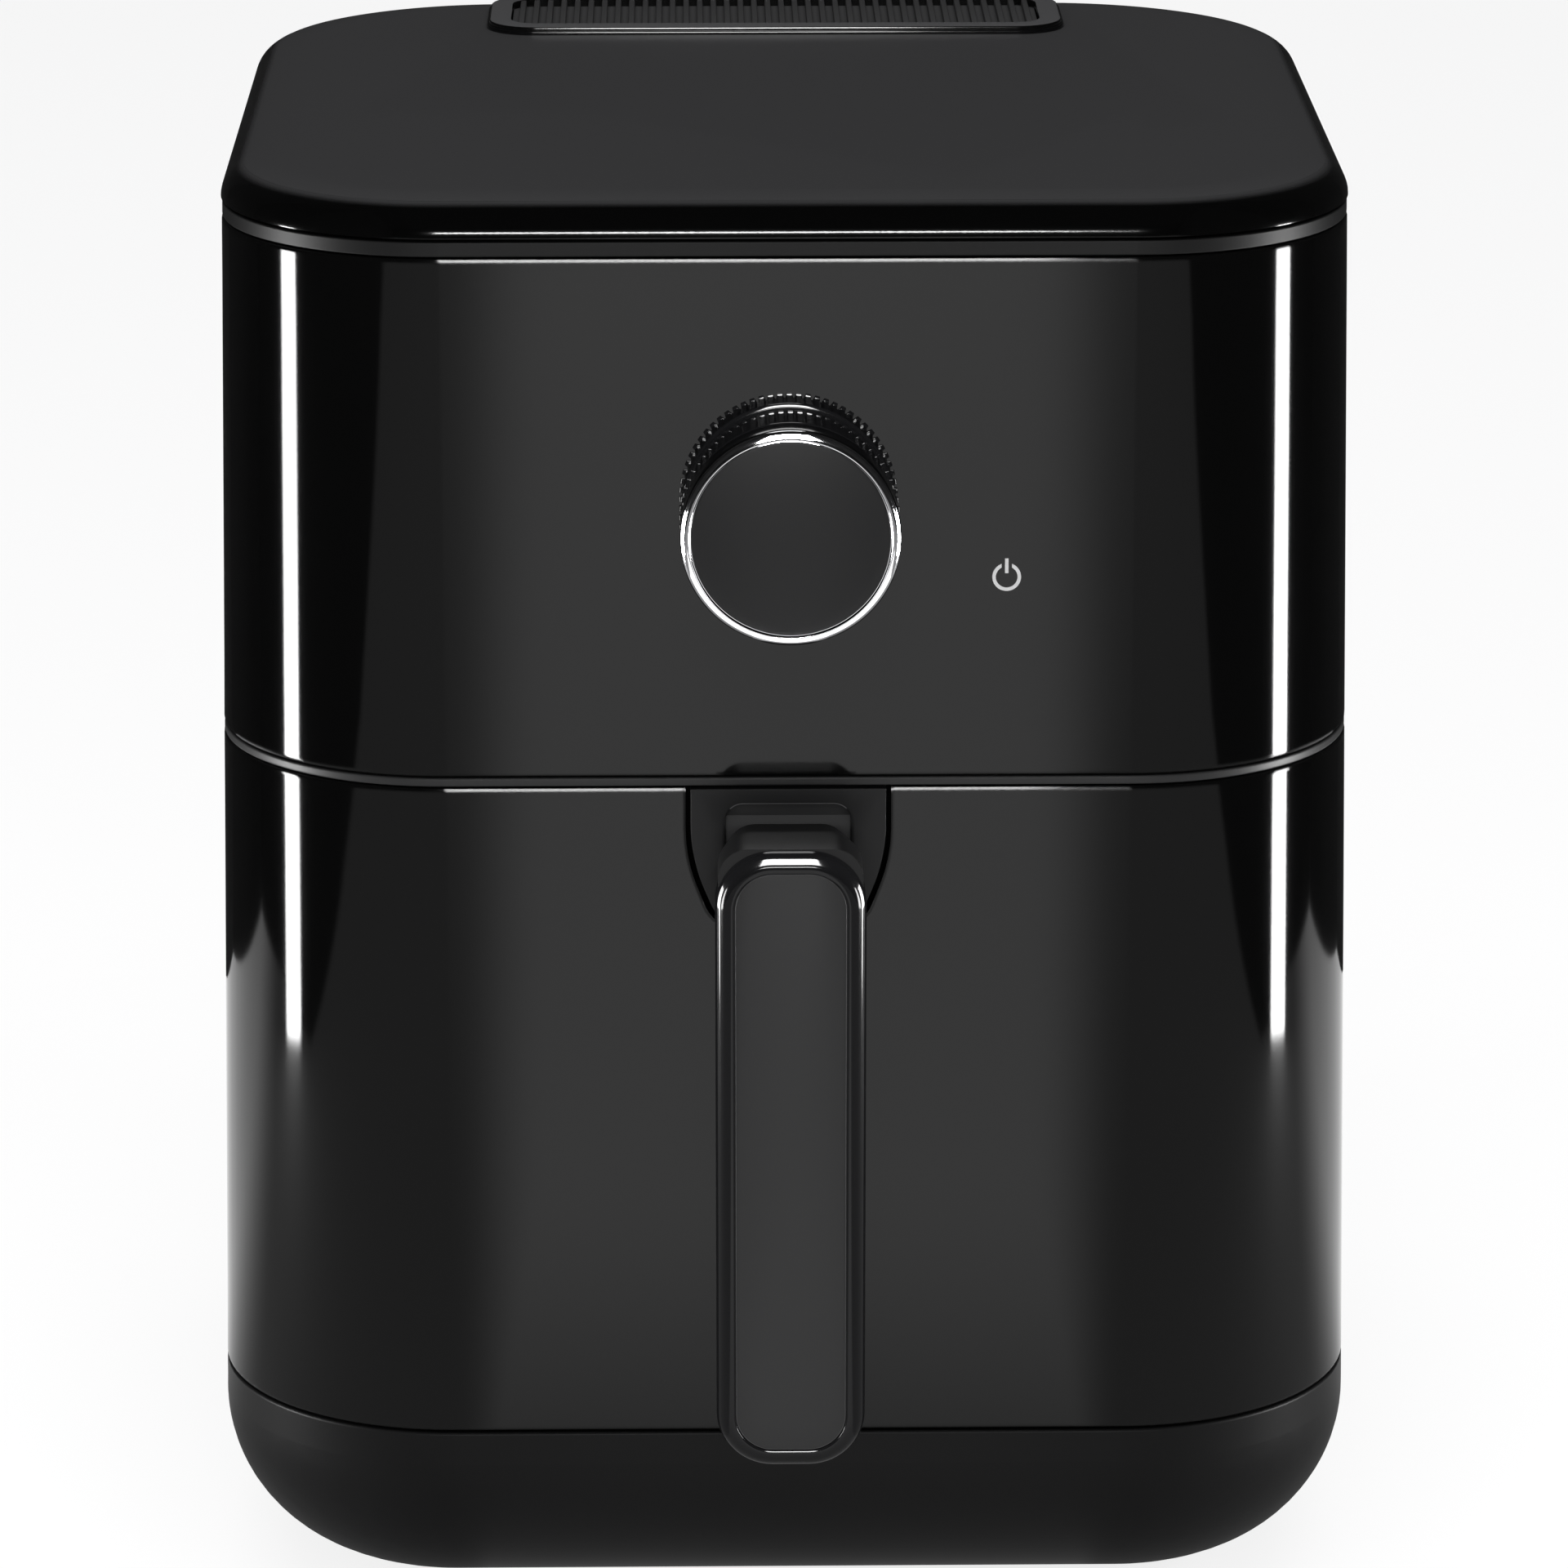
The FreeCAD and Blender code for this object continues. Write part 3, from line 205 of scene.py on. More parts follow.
def area_lamp(name, place, aim, width, height, power, mirrored):
    """A rectangular lamp; mirrored says whether polished faces show the lamp itself."""
    lamp = bpy.data.lights.new(name, "AREA")
    lamp.shape = "RECTANGLE"
    lamp.size = width
    lamp.size_y = height
    lamp.energy = power
    holder = bpy.data.objects.new(name, lamp)
    holder.location = place
    holder.rotation_euler = (Vector(aim) - Vector(place)).to_track_quat("-Z", "Y").to_euler()
    holder.visible_glossy = mirrored
    holder.visible_camera = False
    bpy.context.collection.objects.link(holder)
    return holder


STRIP_OUT = 0.57
STRIP_LEVEL = 0.135
SIDES = ((-1, "left"), (1, "right"))

area_lamp("overhead_softbox", (0.0, -0.2, 2.0), (0.0, 0.0, 0.0), 2.4, 2.4, power=34.0, mirrored=False)
area_lamp("front_fill", (0.0, -2.6, 1.3), (0.0, 0.0, 0.15), 1.4, 1.0, power=16.0, mirrored=False)
area_lamp("edge_softbox", (-0.02, -2.3, 0.70), (0.0, 0.0, 0.34), 0.50, 0.14, power=8.3, mirrored=True)
for side, tag in SIDES:
    strip_place = (side * STRIP_OUT, -0.125, STRIP_LEVEL)
    area_lamp(f"strip_{tag}", strip_place, (0.0, -0.08, STRIP_LEVEL), 0.078, 0.27, power=2.4, mirrored=True)
print("lamps", len(bpy.data.lights))

# %% [markdown]
# ## Lamps for single pieces
# Chrome and rounded black edges need a bright shape to mirror, and a lamp that is strong enough for them
# would grey the whole front. Light linking solves this: a lamp with a receiver collection lights only the
# pieces in it. The knob, the handle and the upper edges each join such a collection when they are made.

# %% Lamps for the knob and the handle


def shine_on(name, *lamps):
    """A collection of pieces that the given lamps are kept for."""
    pieces = bpy.data.collections.new(name)
    bpy.context.scene.collection.children.link(pieces)
    for lamp in lamps:
        lamp.light_linking.receiver_collection = pieces
    return pieces


TOP_LIT = shine_on(
    "lit_from_above",
    area_lamp("gleam_top", (0.0, -0.80, 1.05), (0.0, -0.14, 0.25), 0.50, 0.85, power=70.0, mirrored=True),
)
SIDE_LIT = shine_on(
    "lit_from_the_sides",
    *(
        area_lamp(
            f"gleam_{tag}",
            (side * 0.60, -0.16, 0.16),
            (side * 0.03, -0.14, 0.24),
            0.60,
            0.26,
            power=16.0,
            mirrored=True,
        )
        for side, tag in SIDES
    ),
)
EDGE_LIT = shine_on(
    "lit_along_the_edges",
    area_lamp("gleam_edge", (-0.02, -1.14, 1.054), (0.0, -0.11, 0.33), 0.30, 0.56, power=25.2, mirrored=True),
)
LOW_LIT = shine_on(
    "lit_from_below",
    area_lamp("gleam_low", (0.0, -0.62, 0.005), (0.0, -0.62, 1.0), 0.80, 0.70, power=2.6, mirrored=True),
)
for node in ("control_housing", "drawer_front"):
    EDGE_LIT.objects.link(frame["nodes"][node])


def hide_from_mirrors(obj):
    """Keep a piece out of the polished panel behind it."""
    obj.visible_glossy = False


print("lamps with the linked ones", len(bpy.data.lights))

# %% [markdown]
# ## Dark screens
# A black corner needs something black to mirror. Panels stand in a line down each side, just outside the
# strip lamps, and more close the set above and in front. So each rounded corner shows one white line between
# two dark stretches. The screens show only in reflections.

# %% Dark screens
SCREEN_COLOUR = (0.006, 0.006, 0.006, 1.0)
SCREEN_TOP = 1.5
SCREEN_FRONT = -3.0
SCREEN_WIDTH = 2.8
SIDE_LINE = [
    (1.35, SCREEN_FRONT),
    (0.80, -0.95),
    (0.56, -0.22),
    (0.64, -0.06),
    (0.66, 0.12),
    (0.40, 0.34),
    (0.0, 0.42),
]
screen_finish = plain_material("black_screen", SCREEN_COLOUR, 1.0)


def dark_screen(name, middle, size, turn, look):
    """A black panel that shows in reflections only: no camera, no shadow, no bounce."""
    start_fresh()
    bpy.ops.mesh.primitive_plane_add(size=1.0, location=middle)
    panel = named(name)
    panel.scale = (size[0], size[1], 1.0)
    panel.rotation_euler = turn
    settle(panel)
    panel.data.materials.append(look)
    panel.visible_camera = False
    panel.visible_diffuse = False
    panel.visible_shadow = False


QUARTER = math.pi / 2
FLAT = (0.0, 0.0, 0.0)
UPRIGHT = (QUARTER, 0.0, 0.0)
for side, tag in SIDES:
    for index, (start, end) in enumerate(zip(SIDE_LINE, SIDE_LINE[1:])):
        run = Vector((side * (end[0] - start[0]), end[1] - start[1]))
        middle = (side * (start[0] + end[0]) / 2, (start[1] + end[1]) / 2, SCREEN_TOP / 2)
        turn = (QUARTER, 0.0, math.atan2(run.y, run.x))
        dark_screen(f"screen_{tag}_{index}", middle, (run.length, SCREEN_TOP), turn, screen_finish)
dark_screen("screen_top", (0.0, -0.7, SCREEN_TOP), (SCREEN_WIDTH, 4.7), FLAT, screen_finish)
front_middle = (0.0, SCREEN_FRONT, SCREEN_TOP / 2)
dark_screen("screen_front", front_middle, (SCREEN_WIDTH, SCREEN_TOP), UPRIGHT, screen_finish)
print("side screens", len(SIDES) * (len(SIDE_LINE) - 1))

# %% [markdown]
# ## A graded card on the floor
# The flat front mirrors the floor before it, and in the picture that grey falls off from the middle to both
# sides. A dark card on the floor, seen in reflections only, makes this fall-off: its alpha is clear in the
# middle and closes towards the sides. Its borders run towards the mirrored camera, so that they stand
# upright in the reflection.

# %% Graded card on the floor
CARD_SIZE = (2.6, 3.4)
CARD_MIDDLE = (0.0, -1.30, 0.002)
CARD_SHADE = 0.74
CARD_END = (-0.04, 0.12)
CLEAR_SPREAD = 0.0370
DARK_SPREAD = 0.0510
NEAR_SHADE = 0.60
NEAR_REACH = 0.36
mirrored_eye = Vector((CAMERA_SIDE, front_of_housing + CAMERA_AHEAD, 0.0))
middle_spread = -CAMERA_SIDE / CAMERA_AHEAD


def math_step(tree, operation, first, second=None):
    """One math node; its inputs are numbers or outputs of other nodes."""
    node = tree.nodes.new("ShaderNodeMath")
    node.operation = operation
    for place, value in enumerate((first, second)):
        if isinstance(value, float):
            node.inputs[place].default_value = value
        elif value is not None:
            tree.links.new(value, node.inputs[place])
    return node.outputs[0]


def fade(tree, value, start, end, top):
    """A soft step from 0 to a top value."""
    node = tree.nodes.new("ShaderNodeMapRange")
    node.interpolation_type = "SMOOTHSTEP"
    node.inputs["From Min"].default_value = start
    node.inputs["From Max"].default_value = end
    node.inputs["To Max"].default_value = top
    tree.links.new(value, node.inputs["Value"])
    return node.outputs["Result"]


def card_material():
    """Clear in the middle and dark at both sides; the border fans out in line with the camera."""
    material = plain_material("graded_card", SCREEN_COLOUR, 1.0)
    tree = material.node_tree
    where = tree.nodes.new("ShaderNodeTexCoord")
    split = tree.nodes.new("ShaderNodeSeparateXYZ")
    tree.links.new(where.outputs["Object"], split.inputs[0])
    across = math_step(tree, "SUBTRACT", split.outputs["X"], mirrored_eye.x)
    away = math_step(tree, "SUBTRACT", mirrored_eye.y, split.outputs["Y"])
    spread = math_step(tree, "SUBTRACT", math_step(tree, "DIVIDE", across, away), middle_spread)
    shade = fade(tree, math_step(tree, "ABSOLUTE", spread), CLEAR_SPREAD, DARK_SPREAD, CARD_SHADE)
    near = fade(tree, split.outputs["Y"], front_of_housing - NEAR_REACH, front_of_housing, NEAR_SHADE)
    shade = math_step(tree, "MAXIMUM", shade, near)
    beyond = fade(tree, split.outputs["Y"], *CARD_END, 1.0)
    shade = math_step(tree, "MULTIPLY", shade, math_step(tree, "SUBTRACT", 1.0, beyond))
    tree.links.new(shade, tree.nodes["Principled BSDF"].inputs["Alpha"])
    return material


dark_screen("floor_card", CARD_MIDDLE, CARD_SIZE, FLAT, card_material())
print("card", CARD_SIZE, "m, middle at a spread of", round(middle_spread, 4))

# %% [markdown]
# ## Finishes
# Moulded plastic is never perfectly even: a fine spark-eroded grain breaks up the highlight, and the
# gloss drifts a little over a wide panel. Both come from one node group, placed in each material with its
# own scale and strength. Colours and gloss that stay the same all over are set on the shader itself.

# %% Shared grain group


def socket(group, name, direction, value=None):
    """A number that goes into a node group or comes out of it."""
    made = group.interface.new_socket(name=name, in_out=direction, socket_type="NodeSocketFloat")
    if value is not None:
        made.default_value = value


def build_grain_group():
    """Fine moulded grain: a height for bump, and a roughness that drifts around its middle value."""
    group = bpy.data.node_groups.new("moulded_grain", "ShaderNodeTree")
    socket(group, "Grain Scale", "INPUT", 2500.0)
    socket(group, "Drift Scale", "INPUT", 18.0)
    socket(group, "Roughness", "INPUT", 0.3)
    socket(group, "Drift", "INPUT", 0.04)
    socket(group, "Height", "OUTPUT")
    socket(group, "Roughness", "OUTPUT")
    nodes, links = group.nodes, group.links
    entry = nodes.new("NodeGroupInput")
    leave = nodes.new("NodeGroupOutput")
    where = nodes.new("ShaderNodeTexCoord")
    grain = nodes.new("ShaderNodeTexNoise")
    grain.inputs["Detail"].default_value = 2.0
    drift = nodes.new("ShaderNodeTexNoise")
    drift.inputs["Detail"].default_value = 3.0
    centred = nodes.new("ShaderNodeMath")
    centred.operation = "SUBTRACT"
    centred.inputs[1].default_value = 0.5
    swing = nodes.new("ShaderNodeMath")
    swing.operation = "MULTIPLY_ADD"
    links.new(where.outputs["Object"], grain.inputs["Vector"])
    links.new(where.outputs["Object"], drift.inputs["Vector"])
    links.new(entry.outputs["Grain Scale"], grain.inputs["Scale"])
    links.new(entry.outputs["Drift Scale"], drift.inputs["Scale"])
    links.new(drift.outputs["Fac"], centred.inputs[0])
    links.new(centred.outputs[0], swing.inputs[0])
    links.new(entry.outputs["Drift"], swing.inputs[1])
    links.new(entry.outputs["Roughness"], swing.inputs[2])
    links.new(grain.outputs["Fac"], leave.inputs["Height"])
    links.new(swing.outputs[0], leave.inputs["Roughness"])
    return group


GRAIN = build_grain_group()
print("grain group nodes", len(GRAIN.nodes))

# %% Finish helpers
GRAIN_RELIEF = 0.2 * MM
LINE_RELIEF = 0.12


def finish(name, colour, roughness, grain=2500.0, bump=0.02, drift=0.04, metallic=0.0, shine=0.5, edge=0.0):
    """A moulded or metal finish with the shared grain on its gloss and relief."""
    material = plain_material(name, (*colour, 1.0), roughness)
    nodes, links = material.node_tree.nodes, material.node_tree.links
    shader = nodes["Principled BSDF"]
    shader.inputs["Metallic"].default_value = metallic
    shader.inputs["Specular IOR Level"].default_value = shine
    detail = nodes.new("ShaderNodeGroup")
    detail.node_tree = GRAIN
    detail.inputs["Grain Scale"].default_value = grain
    detail.inputs["Roughness"].default_value = roughness
    detail.inputs["Drift"].default_value = drift
    links.new(detail.outputs["Roughness"], shader.inputs["Roughness"])
    relief = nodes.new("ShaderNodeBump")
    relief.inputs["Strength"].default_value = bump
    relief.inputs["Distance"].default_value = GRAIN_RELIEF
    links.new(detail.outputs["Height"], relief.inputs["Height"])
    links.new(relief.outputs["Normal"], shader.inputs["Normal"])
    if edge:
        soft_edge = nodes.new("ShaderNodeBevel")
        soft_edge.inputs["Radius"].default_value = edge
        links.new(soft_edge.outputs["Normal"], relief.inputs["Normal"])
    return material


def brushed(name, colour, roughness, stretch):
    """Metal with fine lines: the grain is stretched along one axis before it is drawn."""
    material = finish(name, colour, roughness, metallic=1.0, bump=0.0)
    nodes, links = material.node_tree.nodes, material.node_tree.links
    where = nodes.new("ShaderNodeTexCoord")
    line_up = nodes.new("ShaderNodeMapping")
    line_up.inputs["Scale"].default_value = stretch
    lines = nodes.new("ShaderNodeTexNoise")
    lines.inputs["Scale"].default_value = 1.0
    lines.inputs["Detail"].default_value = 4.0
    relief = nodes["Bump"]
    relief.inputs["Strength"].default_value = LINE_RELIEF
    links.new(where.outputs["Object"], line_up.inputs["Vector"])
    links.new(line_up.outputs["Vector"], lines.inputs["Vector"])
    links.new(lines.outputs["Fac"], relief.inputs["Height"])
    return material


# %% Finishes of this object
FINISHES = {
    "satin_shell": finish(
        "satin_shell",
        (0.0007, 0.0007, 0.0007),
        0.06,
        grain=3000.0,
        bump=0.004,
        drift=0.02,
        shine=0.44,
        edge=1.1 * MM,
    ),
    "matte_base": finish("matte_base", (0.0034, 0.0034, 0.0035), 0.44, grain=2600.0, bump=0.08, shine=0.22),
    "trim_band": finish("trim_band", (0.013, 0.013, 0.0133), 0.42, grain=2800.0, bump=0.05, edge=0.5 * MM),
    "gloss_black": finish("gloss_black", (0.0012, 0.0012, 0.0013), 0.10, bump=0.004, drift=0.02, shine=0.30),
    "handle_satin": finish("handle_satin", (0.0135, 0.0135, 0.0138), 0.42, grain=3200.0, bump=0.05),
    "bright_chrome": finish("bright_chrome", (0.78, 0.78, 0.80), 0.06, bump=0.002, drift=0.02, metallic=1.0),
    "icon_print": finish("icon_print", (0.50, 0.50, 0.50), 0.50, bump=0.02),
    "rubber": finish("rubber", (0.018, 0.018, 0.018), 0.75, grain=1500.0, bump=0.20),
    "steel_sheet": brushed("steel_sheet", (0.52, 0.52, 0.53), 0.36, (8.0, 900.0, 900.0)),
    "steel_part": brushed("steel_part", (0.56, 0.56, 0.57), 0.28, (900.0, 900.0, 40.0)),
    "element_metal": finish(
        "element_metal", (0.10, 0.085, 0.075), 0.55, grain=900.0, bump=0.15, metallic=0.6
    ),
    "fan_metal": brushed("fan_metal", (0.62, 0.62, 0.63), 0.30, (500.0, 500.0, 500.0)),
    "fan_plastic": finish("fan_plastic", (0.045, 0.045, 0.047), 0.50, bump=0.08),
    "motor_metal": finish("motor_metal", (0.24, 0.24, 0.25), 0.42, grain=1200.0, bump=0.06, metallic=0.7),
    "board_green": finish("board_green", (0.012, 0.085, 0.035), 0.35, grain=1800.0, bump=0.05),
    "nonstick": finish("nonstick", (0.022, 0.022, 0.023), 0.34, grain=1400.0, bump=0.08),
}
print("finishes", len(FINISHES))

# %% Looks of single pieces
FACE_LOOK = finish("knob_satin", (0.0095, 0.0095, 0.0098), 0.40, grain=3200.0, bump=0.04, shine=0.36)
PLATE_LOOK = finish(
    "plate_satin", (0.010, 0.010, 0.0103), 0.45, grain=2800.0, bump=0.06, shine=0.32, edge=0.4 * MM
)
# A pale satin for thin light lines on edges: a painted highlight.
PAINTED_HIGHLIGHT_LOOK = finish("painted_edge_highlight", (0.10, 0.10, 0.102), 0.30, bump=0.01, drift=0.02)
RIB_LOOK = finish("rib_satin", (0.030, 0.030, 0.0305), 0.50, grain=2400.0, bump=0.06)
GROOVE_LOOK = finish("groove_matte", (0.034, 0.034, 0.0345), 0.80, grain=2400.0, bump=0.04, shine=0.06)
NODE_LOOKS = {
    "upper_trim": finish("trim_dark", (0.004, 0.004, 0.0041), 0.44, grain=2800.0, bump=0.05, shine=0.36),
}
print("looks of nodes", list(NODE_LOOKS))

# %% [markdown]
# ## The cover's two finishes
# The cover is one moulding with a matte grained top and a polished edge. Two materials would meet in a hard
# line, so one material blends both by the upward part of the normal: flat faces are matte, tilted ones are
# polished. The grain and gloss are the real finishes; the colour going from grey on faces that look up to
# black as they tilt is painted shade.

# %% Grained top with a polished edge
EDGE_COLOUR = (0.0010, 0.0010, 0.0010)
EDGE_TILT = 0.80
TOP_TILT = 0.985


def grained_top_with_painted_fade(name, edge_roughness, top_colour, top_roughness):
    """The cover: a grained, matte flat top that turns into a polished rounded edge; its grey darkens with the
    tilt as painted shade.
    """
    material = finish(name, EDGE_COLOUR, edge_roughness, grain=2200.0, bump=0.03)
    nodes, links = material.node_tree.nodes, material.node_tree.links
    shader = nodes["Principled BSDF"]
    facing = nodes.new("ShaderNodeNewGeometry")
    split = nodes.new("ShaderNodeSeparateXYZ")
    flat = nodes.new("ShaderNodeMapRange")
    flat.interpolation_type = "SMOOTHSTEP"
    flat.inputs["From Min"].default_value = EDGE_TILT
    flat.inputs["From Max"].default_value = TOP_TILT
    colour = nodes.new("ShaderNodeMix")
    colour.data_type = "RGBA"
    colour.inputs["A"].default_value = (*EDGE_COLOUR, 1.0)
    colour.inputs["B"].default_value = (*top_colour, 1.0)
    gloss = nodes.new("ShaderNodeMix")
    gloss.inputs["B"].default_value = top_roughness
    detail = next(n for n in nodes if n.type == "GROUP")
    links.new(facing.outputs["Normal"], split.inputs[0])
    links.new(split.outputs["Z"], flat.inputs["Value"])
    links.new(flat.outputs["Result"], colour.inputs["Factor"])
    links.new(flat.outputs["Result"], gloss.inputs["Factor"])
    links.new(detail.outputs["Roughness"], gloss.inputs["A"])
    links.new(colour.outputs["Result"], shader.inputs["Base Color"])
    links.new(gloss.outputs["Result"], shader.inputs["Roughness"])
    return material


# The matte grain and the gloss are real; the grey that darkens to black with the tilt is painted shade.
COVER_LOOK = grained_top_with_painted_fade("cover_top", 0.10, (0.030, 0.030, 0.031), 0.55)
print("cover look", COVER_LOOK.name)

# %% Finishes on the CAD nodes
node_slots = {part["node"]: part["material_slot"] for part in frame["record"]["subparts"]}
for node, obj in frame["nodes"].items():
    wanted = NODE_LOOKS.get(node) or FINISHES[node_slots[node]]
    if not obj.material_slots:
        obj.data.materials.append(wanted)
    for place in obj.material_slots:
        place.material = wanted
print("nodes with a finish", len(node_slots))

# %% [markdown]
# ## Turned pieces: ring, knob, chrome bezel and face
# A knob is turned on a lathe, so each piece starts as a circle facing the front, and every step along the
# axis is one extrusion that is then scaled to the next radius. Knurling is the same circle with teeth:
# on the knurled stretches every other group of points is drawn in towards the axis.

# %% Lathe helper
bezel_low, bezel_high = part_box("knob_bezel")
AXIS_X = (bezel_low.x + bezel_high.x) / 2
AXIS_Z = (bezel_low.z + bezel_high.z) / 2


def turned(name, segments, profile):
    """Extrude a circle along the knob's axis through (y, radius) steps; both ends are closed."""
    start_fresh()
    y, radius = profile[0]
    bpy.ops.mesh.primitive_circle_add(
        vertices=segments,
        radius=radius,
        fill_type="NGON",
        location=(AXIS_X, y, AXIS_Z),
        rotation=UPRIGHT,
    )
    obj = settle(named(name))
    take(obj)
    bpy.ops.object.mode_set(mode="EDIT")
    bpy.ops.mesh.select_all(action="SELECT")
    for next_y, next_radius in profile[1:]:
        bpy.ops.mesh.extrude_region_move(TRANSFORM_OT_translate={"value": (0.0, next_y - y, 0.0)})
        ratio = next_radius / radius
        bpy.ops.transform.resize(value=(ratio, 1.0, ratio), center_override=(AXIS_X, next_y, AXIS_Z))
        y, radius = next_y, next_radius
    bpy.ops.mesh.select_all(action="SELECT")
    bpy.ops.mesh.normals_make_consistent(inside=False)
    leave_edit_mode()
    return obj


def quarter_round(y, radius, soft, steps=6):
    """(y, radius) steps of a rounded front edge that starts on a cylinder."""
    turns = [QUARTER * step / steps for step in range(steps + 1)]
    return [(y - soft * math.sin(turn), radius - soft * (1.0 - math.cos(turn))) for turn in turns]


print("knob axis at", round(AXIS_Z / MM, 1), "mm")

# %% Knurling helper
TEETH = 72
POINTS_PER_TOOTH = 6
NEAR = 1e-6


def select_points(obj, test):
    """Enter edit mode with the vertices selected that pass a test."""
    take(obj)
    bpy.ops.object.mode_set(mode="EDIT")
    bpy.ops.mesh.select_mode(type="VERT")
    bpy.ops.mesh.select_all(action="DESELECT")
    bpy.ops.object.mode_set(mode="OBJECT")
    for vertex in obj.data.vertices:
        vertex.select = test(vertex.co)
    bpy.ops.object.mode_set(mode="EDIT")


def in_valley(point):
    """Two of every six points around the axis lie in a valley between teeth."""
    share = math.atan2(point.z - AXIS_Z, point.x - AXIS_X) / (2 * math.pi)
    return round(share * TEETH * POINTS_PER_TOOTH) % POINTS_PER_TOOTH in (2, 3)


def knurl(obj, y_from, y_to, floor_radius):
    """Draw the valleys in to one radius, ring of points by ring of points."""
    stretch = [v.co for v in obj.data.vertices if y_to - NEAR <= v.co.y <= y_from + NEAR]
    rings = {round(p.y, 6): math.hypot(p.x - AXIS_X, p.z - AXIS_Z) for p in stretch}
    for level, radius in rings.items():
        select_points(obj, lambda p: abs(p.y - level) < NEAR and in_valley(p))
        ratio = floor_radius / radius
        bpy.ops.transform.resize(value=(ratio, 1.0, ratio), center_override=(AXIS_X, level, AXIS_Z))
    leave_edit_mode()


# %% Finishing helpers


def smooth(obj, degrees):
    """Shade smooth, and keep edges sharp that turn by more than an angle."""
    take(obj)
    bpy.ops.object.shade_smooth_by_angle(angle=math.radians(degrees))
    return obj


def dress(obj, slot, body, *nodes, look=None):
    """Give a finished piece its material and its body, and hide the CAD nodes that it stands for."""
    obj.data.materials.clear()
    obj.data.materials.append(look or FINISHES[slot])
    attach(obj, body)
    if nodes:
        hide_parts(*nodes)


# %% Temperature ring
TOOTH_DEPTH = 0.6 * MM
NUB = 0.6 * MM
ring_low, ring_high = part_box("temperature_ring")
RING_RADIUS = (ring_high.x - ring_low.x) / 2
RING_FRONT = ring_low.y
PANEL = RING_FRONT + 15.0 * MM
SLEEVE_RADIUS = 8.0 * MM
GROOVE_RADIUS = RING_RADIUS - 1.5 * MM
HIDDEN_RADIUS = RING_RADIUS - 3.0 * MM
RING_TEETH_BACK = PANEL - 0.3 * MM
RING_TEETH_FRONT = PANEL - 7.6 * MM

ring = turned(
    "temperature_ring_knurled",
    TEETH * POINTS_PER_TOOTH,
    [
        (ring_high.y, SLEEVE_RADIUS),
        (PANEL, SLEEVE_RADIUS),
        (PANEL, RING_RADIUS - 1.6 * MM),
        (RING_TEETH_BACK, RING_RADIUS + NUB),
        *quarter_round(PANEL - 0.7 * MM, RING_RADIUS + NUB, NUB),
        (RING_TEETH_FRONT, RING_RADIUS),
        *quarter_round(PANEL - 8.1 * MM, RING_RADIUS, 0.9 * MM),
        (PANEL - 9.1 * MM, GROOVE_RADIUS),
        (PANEL - 13.9 * MM, GROOVE_RADIUS),
        *quarter_round(PANEL - 14.2 * MM, GROOVE_RADIUS, 0.35 * MM),
        (RING_FRONT, HIDDEN_RADIUS),
    ],
)
knurl(ring, RING_TEETH_BACK, RING_TEETH_FRONT, RING_RADIUS - TOOTH_DEPTH)
smooth(ring, 32)
dress(ring, "gloss_black", "temperature_dial", "temperature_ring")
TOP_LIT.objects.link(ring)
hide_from_mirrors(ring)
print("ring", TEETH, "teeth", round(RING_RADIUS / MM, 1), "mm radius")

# %% Timer knob
knob_low, knob_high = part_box("timer_knob")
KNOB_BACK = knob_high.y
KNOB_FRONT = knob_low.y
KNOB_TEETH_BACK = KNOB_BACK - 1.9 * MM
KNOB_TEETH_FRONT = KNOB_BACK - 10.9 * MM

timer = turned(
    "timer_knob_knurled",
    TEETH * POINTS_PER_TOOTH,
    [
        (KNOB_BACK, HIDDEN_RADIUS),
        (KNOB_BACK - 0.3 * MM, GROOVE_RADIUS),
        (KNOB_BACK - 1.6 * MM, GROOVE_RADIUS),
        (KNOB_TEETH_BACK, RING_RADIUS + NUB),
        *quarter_round(KNOB_BACK - 2.3 * MM, RING_RADIUS + NUB, NUB),
        (KNOB_TEETH_FRONT, RING_RADIUS),
        *quarter_round(KNOB_BACK - 11.0 * MM, RING_RADIUS, 0.8 * MM),
        (KNOB_BACK - 12.1 * MM, RING_RADIUS - 0.8 * MM),
        (KNOB_BACK - 12.4 * MM, RING_RADIUS - 0.1 * MM),
        (KNOB_BACK - 13.2 * MM, RING_RADIUS + 0.2 * MM),
        (KNOB_FRONT, RING_RADIUS + 0.3 * MM),
    ],
)
knurl(timer, KNOB_TEETH_BACK, KNOB_TEETH_FRONT, RING_RADIUS - TOOTH_DEPTH)
smooth(timer, 32)
dress(timer, "gloss_black", "timer_dial", "timer_knob")
TOP_LIT.objects.link(timer)
hide_from_mirrors(timer)
print("timer knob", round((KNOB_BACK - KNOB_FRONT) / MM, 1), "mm long")

